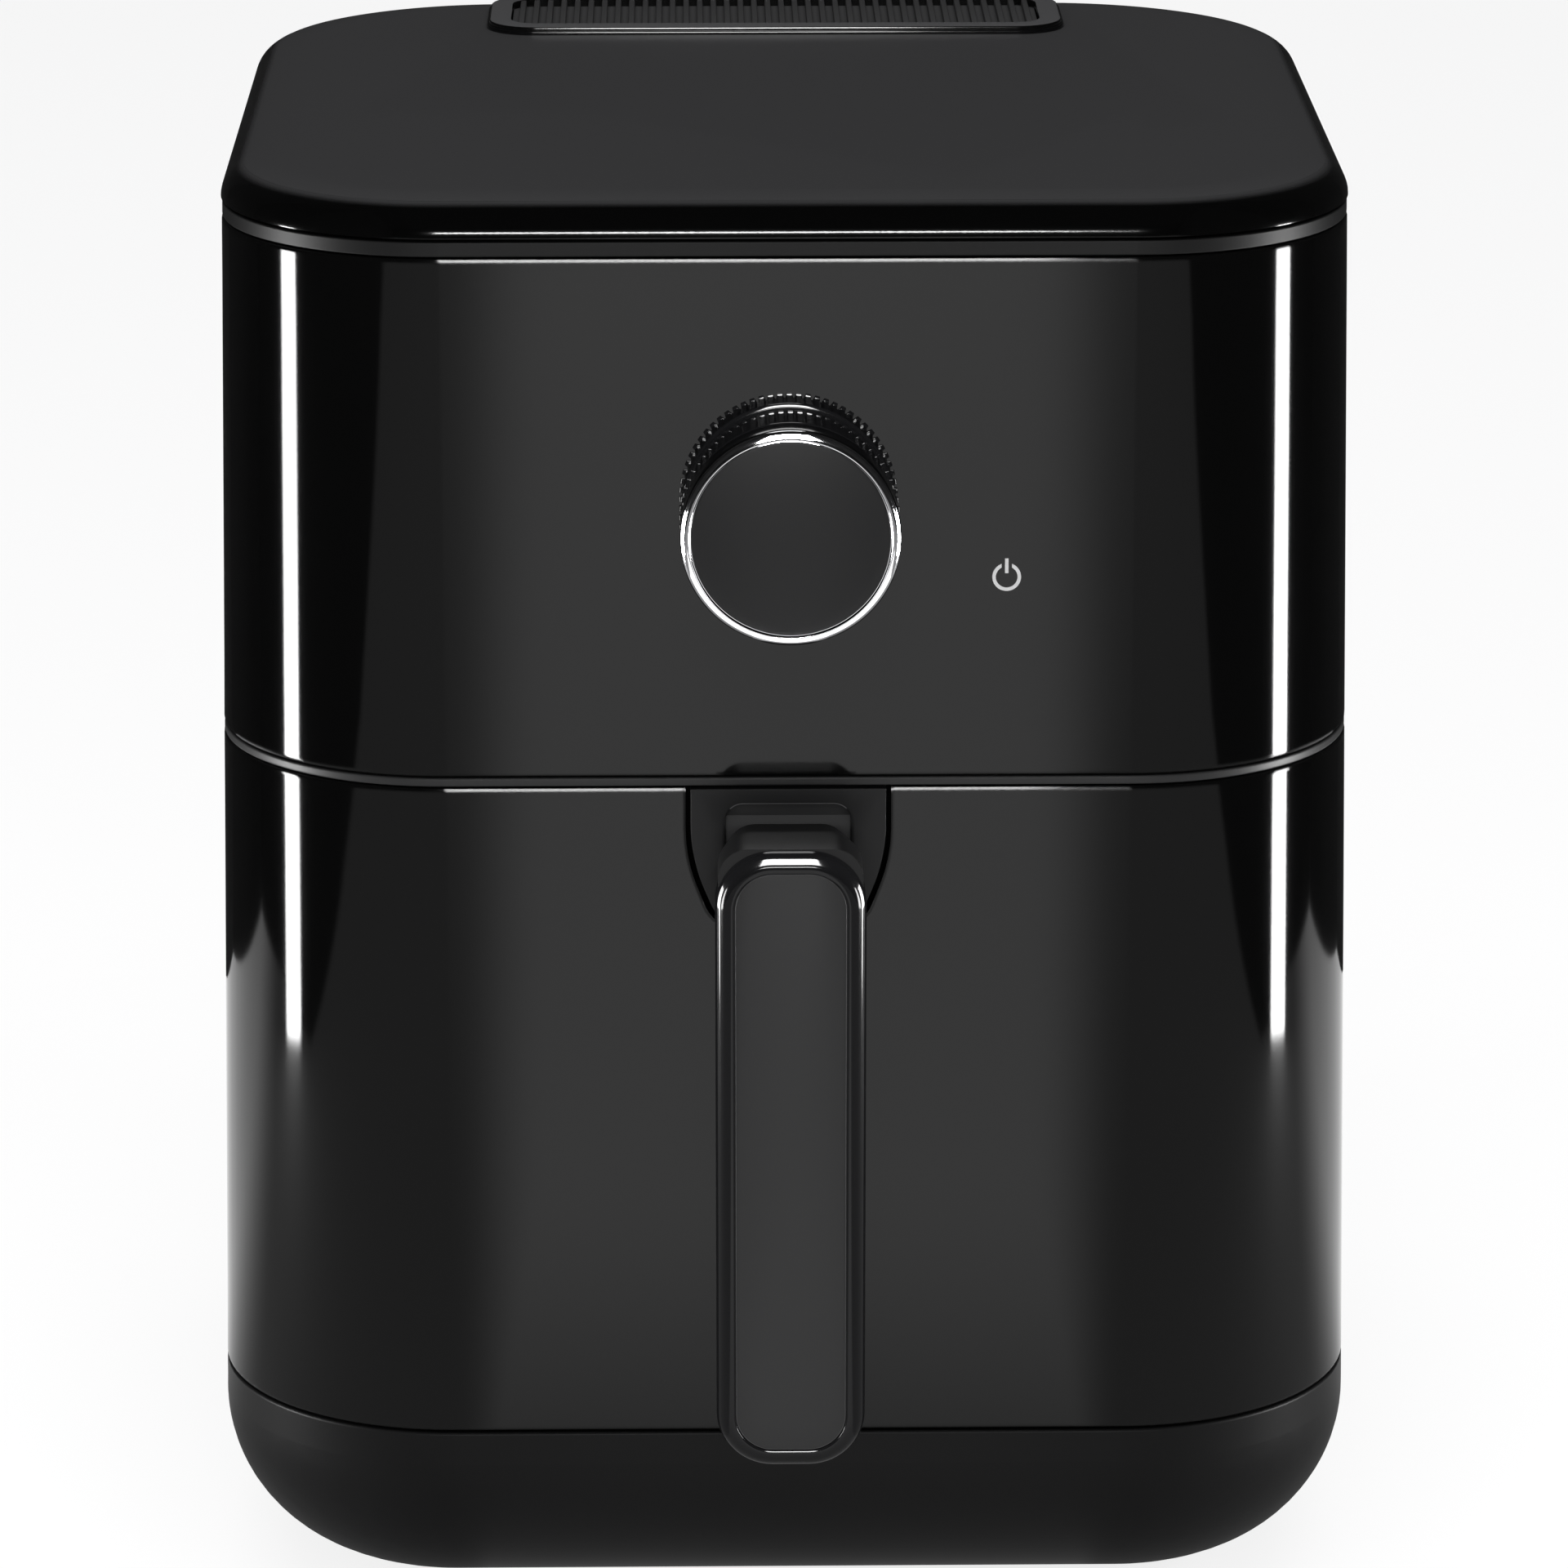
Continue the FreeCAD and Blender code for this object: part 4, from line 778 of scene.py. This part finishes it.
# %% Chrome bezel
ROUND_POINTS = 192
BEZEL_RADIUS = (bezel_high.x - bezel_low.x) / 2
BEZEL_FRONT = bezel_low.y
face_low, face_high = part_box("knob_face")
FACE_RADIUS = (face_high.x - face_low.x) / 2
FACE_FRONT = face_low.y
LIP = 0.45 * MM
bezel_soft = BEZEL_RADIUS - FACE_RADIUS - LIP
bezel = turned(
    "chrome_bezel",
    ROUND_POINTS,
    [
        (KNOB_FRONT, FACE_RADIUS - 0.4 * MM),
        (KNOB_FRONT, BEZEL_RADIUS - 0.3 * MM),
        (KNOB_FRONT - 0.3 * MM, BEZEL_RADIUS),
        *quarter_round(BEZEL_FRONT + bezel_soft + 0.2 * MM, BEZEL_RADIUS, bezel_soft, 10),
        (BEZEL_FRONT + 0.2 * MM, FACE_RADIUS + LIP - 0.05 * MM),
        *quarter_round(BEZEL_FRONT + 0.2 * MM, FACE_RADIUS + LIP - 0.1 * MM, 0.2 * MM, 3),
        (BEZEL_FRONT + 0.1 * MM, FACE_RADIUS + 0.05 * MM),
        (FACE_FRONT + 0.3 * MM, FACE_RADIUS),
        (FACE_FRONT + 0.3 * MM, FACE_RADIUS - 0.4 * MM),
    ],
)
smooth(bezel, 40)
dress(bezel, "bright_chrome", "timer_dial", "knob_bezel")
TOP_LIT.objects.link(bezel)
SIDE_LIT.objects.link(bezel)
LOW_LIT.objects.link(bezel)
hide_from_mirrors(bezel)
print("bezel", round(BEZEL_RADIUS / MM, 1), "mm radius")

# %% Knob face
face = turned(
    "knob_face_disc",
    ROUND_POINTS,
    [
        (KNOB_FRONT - 0.1 * MM, FACE_RADIUS - 1.0 * MM),
        (KNOB_FRONT - 0.2 * MM, FACE_RADIUS - 0.1 * MM),
        (FACE_FRONT + 0.3 * MM, FACE_RADIUS - 0.1 * MM),
        (FACE_FRONT + 0.1 * MM, FACE_RADIUS - 0.3 * MM),
        (FACE_FRONT, FACE_RADIUS - 0.7 * MM),
    ],
)
smooth(face, 30)
dress(face, "handle_satin", "timer_dial", "knob_face", look=FACE_LOOK)
hide_from_mirrors(face)
print("face", round(FACE_RADIUS / MM, 1), "mm radius")

# %% [markdown]
# ## The handle
# The handle is one moulded bar that hangs from a neck. A box gets four round corners, its front is inset to
# leave a border, and the inner face is pushed back as the seat of a satin strip. Bevels then soften the
# border's outer and inner edge. The neck is a piece of its own: a second box, cut across behind the bar, that
# lies on the bar's back and narrows towards the pocket of the plate. The two overlap, so no joint shows.

# %% Box and edge helpers


def block(name, low, high):
    """A box between two corners, ready for edit mode."""
    start_fresh()
    bpy.ops.mesh.primitive_cube_add(size=1.0, location=(Vector(low) + Vector(high)) / 2)
    obj = named(name)
    obj.scale = Vector(high) - Vector(low)
    return settle(obj)


def select_edges(obj, test):
    """Enter edit mode with the edges selected whose two ends pass a test."""
    take(obj)
    bpy.ops.object.mode_set(mode="EDIT")
    bpy.ops.mesh.select_mode(type="EDGE")
    bpy.ops.mesh.select_all(action="DESELECT")
    bpy.ops.object.mode_set(mode="OBJECT")
    for edge in obj.data.edges:
        a, b = (obj.data.vertices[i].co for i in edge.vertices)
        edge.select = test(a, b)
    bpy.ops.object.mode_set(mode="EDIT")


def bevel(obj, test, offset, segments):
    """Round the edges that pass a test."""
    select_edges(obj, test)
    bpy.ops.mesh.bevel(offset=offset, segments=segments, affect="EDGES", profile=0.5)
    leave_edit_mode()


def select_faces(obj, test):
    """Enter edit mode with the faces selected whose middle and normal pass a test."""
    take(obj)
    bpy.ops.object.mode_set(mode="EDIT")
    bpy.ops.mesh.select_mode(type="FACE")
    bpy.ops.mesh.select_all(action="DESELECT")
    bpy.ops.object.mode_set(mode="OBJECT")
    for face in obj.data.polygons:
        face.select = test(face.center, face.normal)
    bpy.ops.object.mode_set(mode="EDIT")


def along(axis):
    """Picks the edges that run along one axis."""
    others = [i for i in range(3) if i != axis]
    return lambda a, b: all(abs(a[i] - b[i]) < NEAR for i in others)


def both(test):
    """Picks the edges whose two ends pass one test for points."""
    return lambda a, b: test(a) and test(b)


def slice_across(obj, place, direction):
    """Cut one more loop of edges all around a piece, in a plane."""
    take(obj)
    bpy.ops.object.mode_set(mode="EDIT")
    bpy.ops.mesh.select_all(action="SELECT")
    bpy.ops.mesh.bisect(plane_co=place, plane_no=direction)
    leave_edit_mode()


STRAIGHT = 0.99
Y_AXIS, Z_AXIS = 1, 2
ALONG_Y = (0.0, 1.0, 0.0)
ALONG_Z = (0.0, 0.0, 1.0)

# %% Handle frame
handle_low, handle_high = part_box("handle_frame")
inlay_low, inlay_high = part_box("handle_inlay")
HANDLE_FACE = inlay_low.y
BAR_BACK = HANDLE_FACE + 15.0 * MM
BAR_CORNER = 13.0 * MM
BORDER = 4.4 * MM
SEAT_DEPTH = 1.1 * MM
RIM_SOFT = 3.6 * MM
SEAT_SOFT = 0.4 * MM

bar = block("handle_bar", (handle_low.x, HANDLE_FACE, handle_low.z), (handle_high.x, BAR_BACK, handle_high.z))
bevel(bar, along(Y_AXIS), BAR_CORNER, 14)
bevel(bar, both(lambda p: abs(p.y - BAR_BACK) < NEAR), RIM_SOFT, 5)
outer_points = {tuple(v.co) for v in bar.data.vertices if abs(v.co.y - HANDLE_FACE) < NEAR}
select_faces(bar, lambda middle, normal: normal.y < -STRAIGHT and abs(middle.y - HANDLE_FACE) < NEAR)
bpy.ops.mesh.inset(thickness=BORDER)
bpy.ops.mesh.extrude_region_move(TRANSFORM_OT_translate={"value": (0.0, SEAT_DEPTH, 0.0)})
leave_edit_mode()
on_face = [tuple(v.co) for v in bar.data.vertices if abs(v.co.y - HANDLE_FACE) < NEAR]
inner_points = set(on_face) - outer_points
bevel(bar, both(lambda p: tuple(p) in inner_points), SEAT_SOFT, 3)
bevel(bar, both(lambda p: tuple(p) in outer_points), RIM_SOFT, 7)
smooth(bar, 35)
dress(bar, "gloss_black", "drawer", "handle_frame")
hide_from_mirrors(bar)
TOP_LIT.objects.link(bar)
SIDE_LIT.objects.link(bar)
print("handle", [round(v / MM, 1) for v in handle_high - handle_low], "mm")

# %% Handle neck
NECK_HALF = 14.2 * MM
NECK_LOW = 182.8 * MM
NECK_TOP = 199.0 * MM
NECK_ROUND = 6.6 * MM
NECK_SPREAD = 1.16
NECK_PROUD = 0.25 * MM
neck_front = HANDLE_FACE + RIM_SOFT + 0.6 * MM
neck = block("handle_neck", (-NECK_HALF, neck_front, NECK_LOW), (NECK_HALF, handle_high.y, NECK_TOP))
slice_across(neck, (0.0, BAR_BACK, 0.0), ALONG_Y)
select_points(neck, lambda p: p.y < BAR_BACK + NEAR)
bpy.ops.transform.resize(value=(NECK_SPREAD, 1.0, 1.0), center_override=(0.0, neck_front, NECK_TOP))
select_points(neck, lambda p: p.y < BAR_BACK + NEAR and p.z > NECK_LOW + NEAR)
bpy.ops.transform.translate(value=(0.0, 0.0, handle_high.z + NECK_PROUD - NECK_TOP))
leave_edit_mode()
bevel(neck, lambda a, b: abs(a.y - b.y) > RIM_SOFT, NECK_ROUND, 8)
smooth(neck, 35)
dress(neck, "matte_base", "drawer", look=PLATE_LOOK)
print("neck", round(NECK_HALF * 2 / MM, 1), "mm wide at its root")

# %% [markdown]
# ## The strip in the handle
# A satin strip fills the seat in the bar. It is a thin box with round corners and a fine bevel. Its sides get
# a second, paler material as a painted highlight: the thin light line that runs around the strip.

# %% Handle strip
STRIP_SINK = 0.5 * MM
STRIP_GAP = 0.1 * MM
STRIP_CORNER = 8.6 * MM
STRIP_SOFT = 0.3 * MM
FACING_FRONT = -0.95
strip = block(
    "handle_strip",
    (inlay_low.x + STRIP_GAP, HANDLE_FACE + STRIP_SINK, inlay_low.z + STRIP_GAP),
    (inlay_high.x - STRIP_GAP, HANDLE_FACE + SEAT_DEPTH + STRIP_GAP, inlay_high.z - STRIP_GAP),
)
bevel(strip, along(Y_AXIS), STRIP_CORNER, 12)
bevel(strip, both(lambda p: abs(p.y - HANDLE_FACE - STRIP_SINK) < NEAR), STRIP_SOFT, 3)
smooth(strip, 35)
dress(strip, "handle_satin", "drawer", "handle_inlay")
# The paler sides are a painted highlight, the light line around the strip.
strip.data.materials.append(PAINTED_HIGHLIGHT_LOOK)
for side_face in strip.data.polygons:
    side_face.material_index = int(side_face.normal.y > FACING_FRONT)
print("strip", [round(v / MM, 1) for v in inlay_high - inlay_low], "mm")

# %% [markdown]
# ## The handle plate
# The plate under the handle follows the drawer's slope and narrows towards its foot. A box is cut across at
# the knee with a bisect, its foot is drawn in, and two sizes of bevel round the outline.

# %% Handle plate
plate_low, plate_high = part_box("handle_bracket")
PLATE_TOP = plate_high.z
PLATE_HALF = 22.6 * MM
PLATE_FOOT = PLATE_TOP - 32.6 * MM
PLATE_KNEE = PLATE_TOP - 16.6 * MM
PLATE_WAIST = 16.0 * MM
PLATE_BACK = plate_low.y + 9.0 * MM
KNEE_ROUND = 7.0 * MM
FOOT_ROUND = 5.0 * MM
DRAFT = math.tan(math.radians(1.04))
plate_face = plate_low.y + (PLATE_TOP - PLATE_FOOT) * DRAFT

plate = block("handle_plate", (-PLATE_HALF, plate_face, PLATE_FOOT), (PLATE_HALF, PLATE_BACK, PLATE_TOP))
slice_across(plate, (0.0, 0.0, PLATE_KNEE), ALONG_Z)
for level in (PLATE_KNEE, PLATE_FOOT):
    select_points(plate, lambda p: abs(p.z - level) < NEAR and p.y < PLATE_BACK - NEAR)
    bpy.ops.transform.translate(value=(0.0, (level - PLATE_TOP) * DRAFT, 0.0))
select_points(plate, lambda p: abs(p.z - PLATE_FOOT) < NEAR)
bpy.ops.transform.resize(value=(PLATE_WAIST / PLATE_HALF, 1.0, 1.0), center_override=(0.0, 0.0, PLATE_FOOT))
leave_edit_mode()


def through_at(level):
    """Picks the plate's edges along the depth at one level, at its sides."""
    return lambda a, b: abs(a.y - b.y) > MM and abs(a.z - level) < NEAR and abs(b.z - level) < NEAR


bevel(plate, through_at(PLATE_KNEE), KNEE_ROUND, 6)
bevel(plate, through_at(PLATE_FOOT), FOOT_ROUND, 6)
print("plate", round(2 * PLATE_HALF / MM, 1), "mm wide")

# %% [markdown]
# ## The pocket behind the neck
# The neck comes out of a shallow pocket in the plate. A box with round corners is its tool. The tool is cut
# across at the pocket's deepest level, and its back is moved forward a little above that level and more below
# it, so the pocket's upper back turns dark and its lower back light. A last bevel breaks the rim.

# %% Pocket in the plate


def cut_away(obj, tool):
    """Cut a tool object out of a piece with a boolean, and take the tool away."""
    boolean = obj.modifiers.new("cut", "BOOLEAN")
    boolean.operation = "DIFFERENCE"
    boolean.solver = "EXACT"
    boolean.object = tool
    apply_modifiers(obj)
    bpy.data.objects.remove(tool, do_unlink=True)


POCKET_HALF = 14.5 * MM
POCKET_TOP = PLATE_TOP - 3.8 * MM
POCKET_LOW = POCKET_TOP - 24.0 * MM
POCKET_BACK = handle_high.y
POCKET_SCOOP = 6.0 * MM
POCKET_LEAN = 1.6 * MM
POCKET_CORNER = 4.0 * MM
POCKET_RIM = 0.8 * MM
deepest = POCKET_TOP - 4.0 * MM
tool_front = plate_low.y - 2.0 * MM
pocket = block("pocket_tool", (-POCKET_HALF, tool_front, POCKET_LOW), (POCKET_HALF, POCKET_BACK, POCKET_TOP))
bevel(pocket, along(Y_AXIS), POCKET_CORNER, 8)
slice_across(pocket, (0.0, 0.0, deepest), ALONG_Z)
select_points(pocket, lambda p: p.y > POCKET_BACK - NEAR and p.z < deepest - MM)
bpy.ops.transform.translate(value=(0.0, -POCKET_SCOOP, 0.0))
select_points(pocket, lambda p: p.y > POCKET_BACK - NEAR and p.z > deepest + MM)
bpy.ops.transform.translate(value=(0.0, -POCKET_LEAN, 0.0))
leave_edit_mode()
cut_away(plate, pocket)


def on_pocket_rim(point):
    """Points on the plate's front that lie around the pocket."""
    inside = abs(point.x) < POCKET_HALF + NEAR and POCKET_LOW - NEAR < point.z < POCKET_TOP + NEAR
    return inside and point.y < plate_face + NEAR


bevel(plate, both(on_pocket_rim), POCKET_RIM, 3)
smooth(plate, 30)
dress(plate, "matte_base", "drawer", "handle_bracket", look=PLATE_LOOK)
print("pocket", round(2 * POCKET_HALF / MM, 1), "mm wide")

# %% [markdown]
# ## Painted light in the pocket
# The plate shades its own pocket. Painted light, a paler satin inside, and a painted highlight, a pale line
# along the upper edge, bring back two grey bands and a thin light line. They are further materials on single
# faces of one piece.

# %% Painted light inside the pocket
# A paler satin as painted light inside the shaded pocket.
POCKET_PAINTED_LIGHT_LOOK = finish("pocket_painted_light", (0.034, 0.034, 0.0345), 0.50, grain=2800.0, bump=0.06, shine=0.25)
RIM_REACH = 0.9 * MM
FACING_DOWN = -0.5
PAINTED_LIGHT_SLOT, LINE = 1, 2
plate.data.materials.append(POCKET_PAINTED_LIGHT_LOOK)
plate.data.materials.append(PAINTED_HIGHLIGHT_LOOK)
for spot in plate.data.polygons:
    x, y, z = spot.center
    inside = abs(x) < POCKET_HALF and POCKET_LOW < z < POCKET_TOP + NEAR
    on_edge = abs(z - POCKET_TOP) < RIM_REACH and abs(y - plate_face) < RIM_REACH
    # Faces deep in the pocket get painted light: a paler satin against the plate's own shade.
    if inside and y > plate_face + RIM_REACH:
        spot.material_index = PAINTED_LIGHT_SLOT
    # Downward faces on the pocket's upper edge get the painted highlight line.
    elif on_edge and spot.normal.z < FACING_DOWN:
        spot.material_index = LINE
print("paler faces", sum(spot.material_index > 0 for spot in plate.data.polygons))

# %% [markdown]
# ## The top cover
# The lid is a shallow block with the housing's round corners. Its top is inset, and the loop around the inset
# is let down a little, so the flat top runs out into a gentle slope. A bevel on that loop makes the polished
# edge, and a box cuts the opening for the vent.

# %% Top cover
lid_low, lid_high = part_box("top_cover")
LID_FRONT_CORNER = 52.2 * MM
LID_BACK_CORNER = 62.2 * MM
LID_SLOPE = 10.0 * MM
LID_DROP = 2.2 * MM
LID_SIDE = 0.8 * MM
LID_BLEND = 0.45 * LID_SLOPE
lid_middle = (lid_low.y + lid_high.y) / 2
lid = block("smooth_lid", lid_low, lid_high)
upright = along(Z_AXIS)
bevel(lid, lambda a, b: upright(a, b) and a.y < lid_middle, LID_FRONT_CORNER, 28)
bevel(lid, lambda a, b: upright(a, b) and a.y > lid_high.y - NEAR, LID_BACK_CORNER, 28)
rim_points = {tuple(v.co) for v in lid.data.vertices if v.co.z > lid_high.z - NEAR}
select_faces(lid, lambda middle, normal: normal.z > STRAIGHT)
bpy.ops.mesh.inset(thickness=LID_SLOPE)
leave_edit_mode()
select_points(lid, lambda p: tuple(p) in rim_points)
bpy.ops.transform.translate(value=(0.0, 0.0, -LID_DROP))
leave_edit_mode()
lid_edge = lid_high.z - LID_DROP
lid_soft = lid_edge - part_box("upper_trim")[1].z - LID_SIDE
bevel(lid, both(lambda p: abs(p.z - lid_edge) < NEAR), lid_soft, 10)
bevel(lid, both(lambda p: abs(p.z - lid_high.z) < NEAR), LID_BLEND, 5)
print("lid", [round(v / MM, 1) for v in lid_high - lid_low], "mm, edge radius", round(lid_soft / MM, 2), "mm")

# %% Opening for the vent
RIM_WIDTH = 5.5 * MM
OPENING_CORNER = 3.0 * MM
rim_low, rim_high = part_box("vent_rim")
opening = block(
    "opening_tool",
    (rim_low.x + RIM_WIDTH, rim_low.y + RIM_WIDTH, lid_low.z - MM),
    (rim_high.x - RIM_WIDTH, rim_high.y - RIM_WIDTH, lid_high.z + MM),
)
bevel(opening, along(Z_AXIS), OPENING_CORNER, 6)
cut_away(lid, opening)
smooth(lid, 35)
dress(lid, "satin_shell", "housing", "top_cover", look=COVER_LOOK)
print("lid faces", len(lid.data.polygons))

# %% [markdown]
# ## The vent
# The rim is a flat frame with a soft top edge, and a thin flange runs around its foot. Both are made alike: a
# box with round corners, whose top and bottom are inset by the frame's width. The two inner faces are
# deleted, and bridging their loops closes the frame into a ring.

# %% Vent rim and flange
RIM_CORNER = 12.0 * MM
RIM_SINK = 1.6 * MM
RIM_EDGE = 0.5 * MM
FLANGE_EDGE = 0.4 * MM
FLANGE_REACH = 0.6 * MM
FLANGE_RISE = 1.0 * MM


def flat_frame(name, low, high, width, soft):
    """A rectangular ring with round corners and a soft outer top edge."""
    obj = block(name, low, high)
    centre = (low + high) / 2
    bevel(obj, along(Z_AXIS), RIM_CORNER, 10)
    bevel(obj, both(lambda p: abs(p.z - high.z) < NEAR), soft, 4)

    def at_centre(middle, normal):
        return abs(normal.z) > STRAIGHT and (middle - centre).xy.length < MM

    for up in (True, False):
        select_faces(obj, lambda middle, normal: at_centre(middle, normal) and (normal.z > 0) == up)
        bpy.ops.mesh.inset(thickness=width - soft if up else width)
        leave_edit_mode()
    select_faces(obj, at_centre)
    bpy.ops.mesh.delete(type="FACE")
    bpy.ops.mesh.select_mode(type="EDGE")
    bpy.ops.mesh.select_non_manifold()
    bpy.ops.mesh.bridge_edge_loops()
    bpy.ops.mesh.select_all(action="SELECT")
    bpy.ops.mesh.normals_make_consistent(inside=False)
    leave_edit_mode()
    EDGE_LIT.objects.link(obj)
    return smooth(obj, 35)


down = Vector((0.0, 0.0, RIM_SINK))
rim = flat_frame("vent_rim_frame", rim_low - down, rim_high, RIM_WIDTH, RIM_EDGE)
dress(rim, "gloss_black", "housing", "vent_rim", look=COVER_LOOK)
around = Vector((FLANGE_REACH, FLANGE_REACH, 0.0))
flange_top = Vector((rim_high.x, rim_high.y, rim_low.z + FLANGE_RISE))
flange = flat_frame("vent_flange", rim_low - down - around, flange_top + around, RIM_WIDTH, FLANGE_EDGE)
dress(flange, "gloss_black", "housing")
print("rim faces", len(rim.data.polygons))

# %% [markdown]
# ## The vent's ribs
# Low ribs stand side by side on a matte floor, just under the rim's top. One rib is modelled with soft edges
# and copied across the opening, each copy with its own mesh, and the ribs are joined to the floor they stand
# on.

# %% Vent ribs
RIB_PITCH = 3.5 * MM
RIB_WIDTH = 1.5 * MM
RIB_COUNT = 38
RIB_SOFT = 0.3 * MM
FLOOR_CORNER = 2.0 * MM
grille_low, grille_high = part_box("vent_grille")
RIB_TOP = rim_high.z - 0.2 * MM
GROOVE_DEPTH = 1.7 * MM
grate = block("vent_ribs", grille_low, (grille_high.x, grille_high.y, RIB_TOP - GROOVE_DEPTH))
bevel(grate, along(Z_AXIS), FLOOR_CORNER, 4)
first_rib = -(RIB_COUNT - 1) / 2 * RIB_PITCH
rib = block(
    "rib",
    (first_rib - RIB_WIDTH / 2, grille_low.y, grille_low.z),
    (first_rib + RIB_WIDTH / 2, grille_high.y, RIB_TOP),
)
bevel(rib, both(lambda p: p.z > grille_low.z + NEAR), RIB_SOFT, 3)
smooth(rib, 35)
ribs = [rib]
for index in range(1, RIB_COUNT):
    take(rib)
    bpy.ops.object.duplicate()
    copy = named(f"rib_{index}")
    copy.location.x = index * RIB_PITCH
    ribs.append(settle(copy))
grate.data.materials.append(GROOVE_LOOK)
for copy in ribs:
    copy.data.materials.append(RIB_LOOK)
take(grate)
for copy in ribs:
    copy.select_set(True)
bpy.ops.object.join()
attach(grate, "housing")
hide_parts("vent_grille")
print("ribs", RIB_COUNT)

# %% [markdown]
# ## Finish
# The last cell sets the view transform to Standard.

# %% Finish
bpy.context.scene.view_settings.view_transform = "Standard"
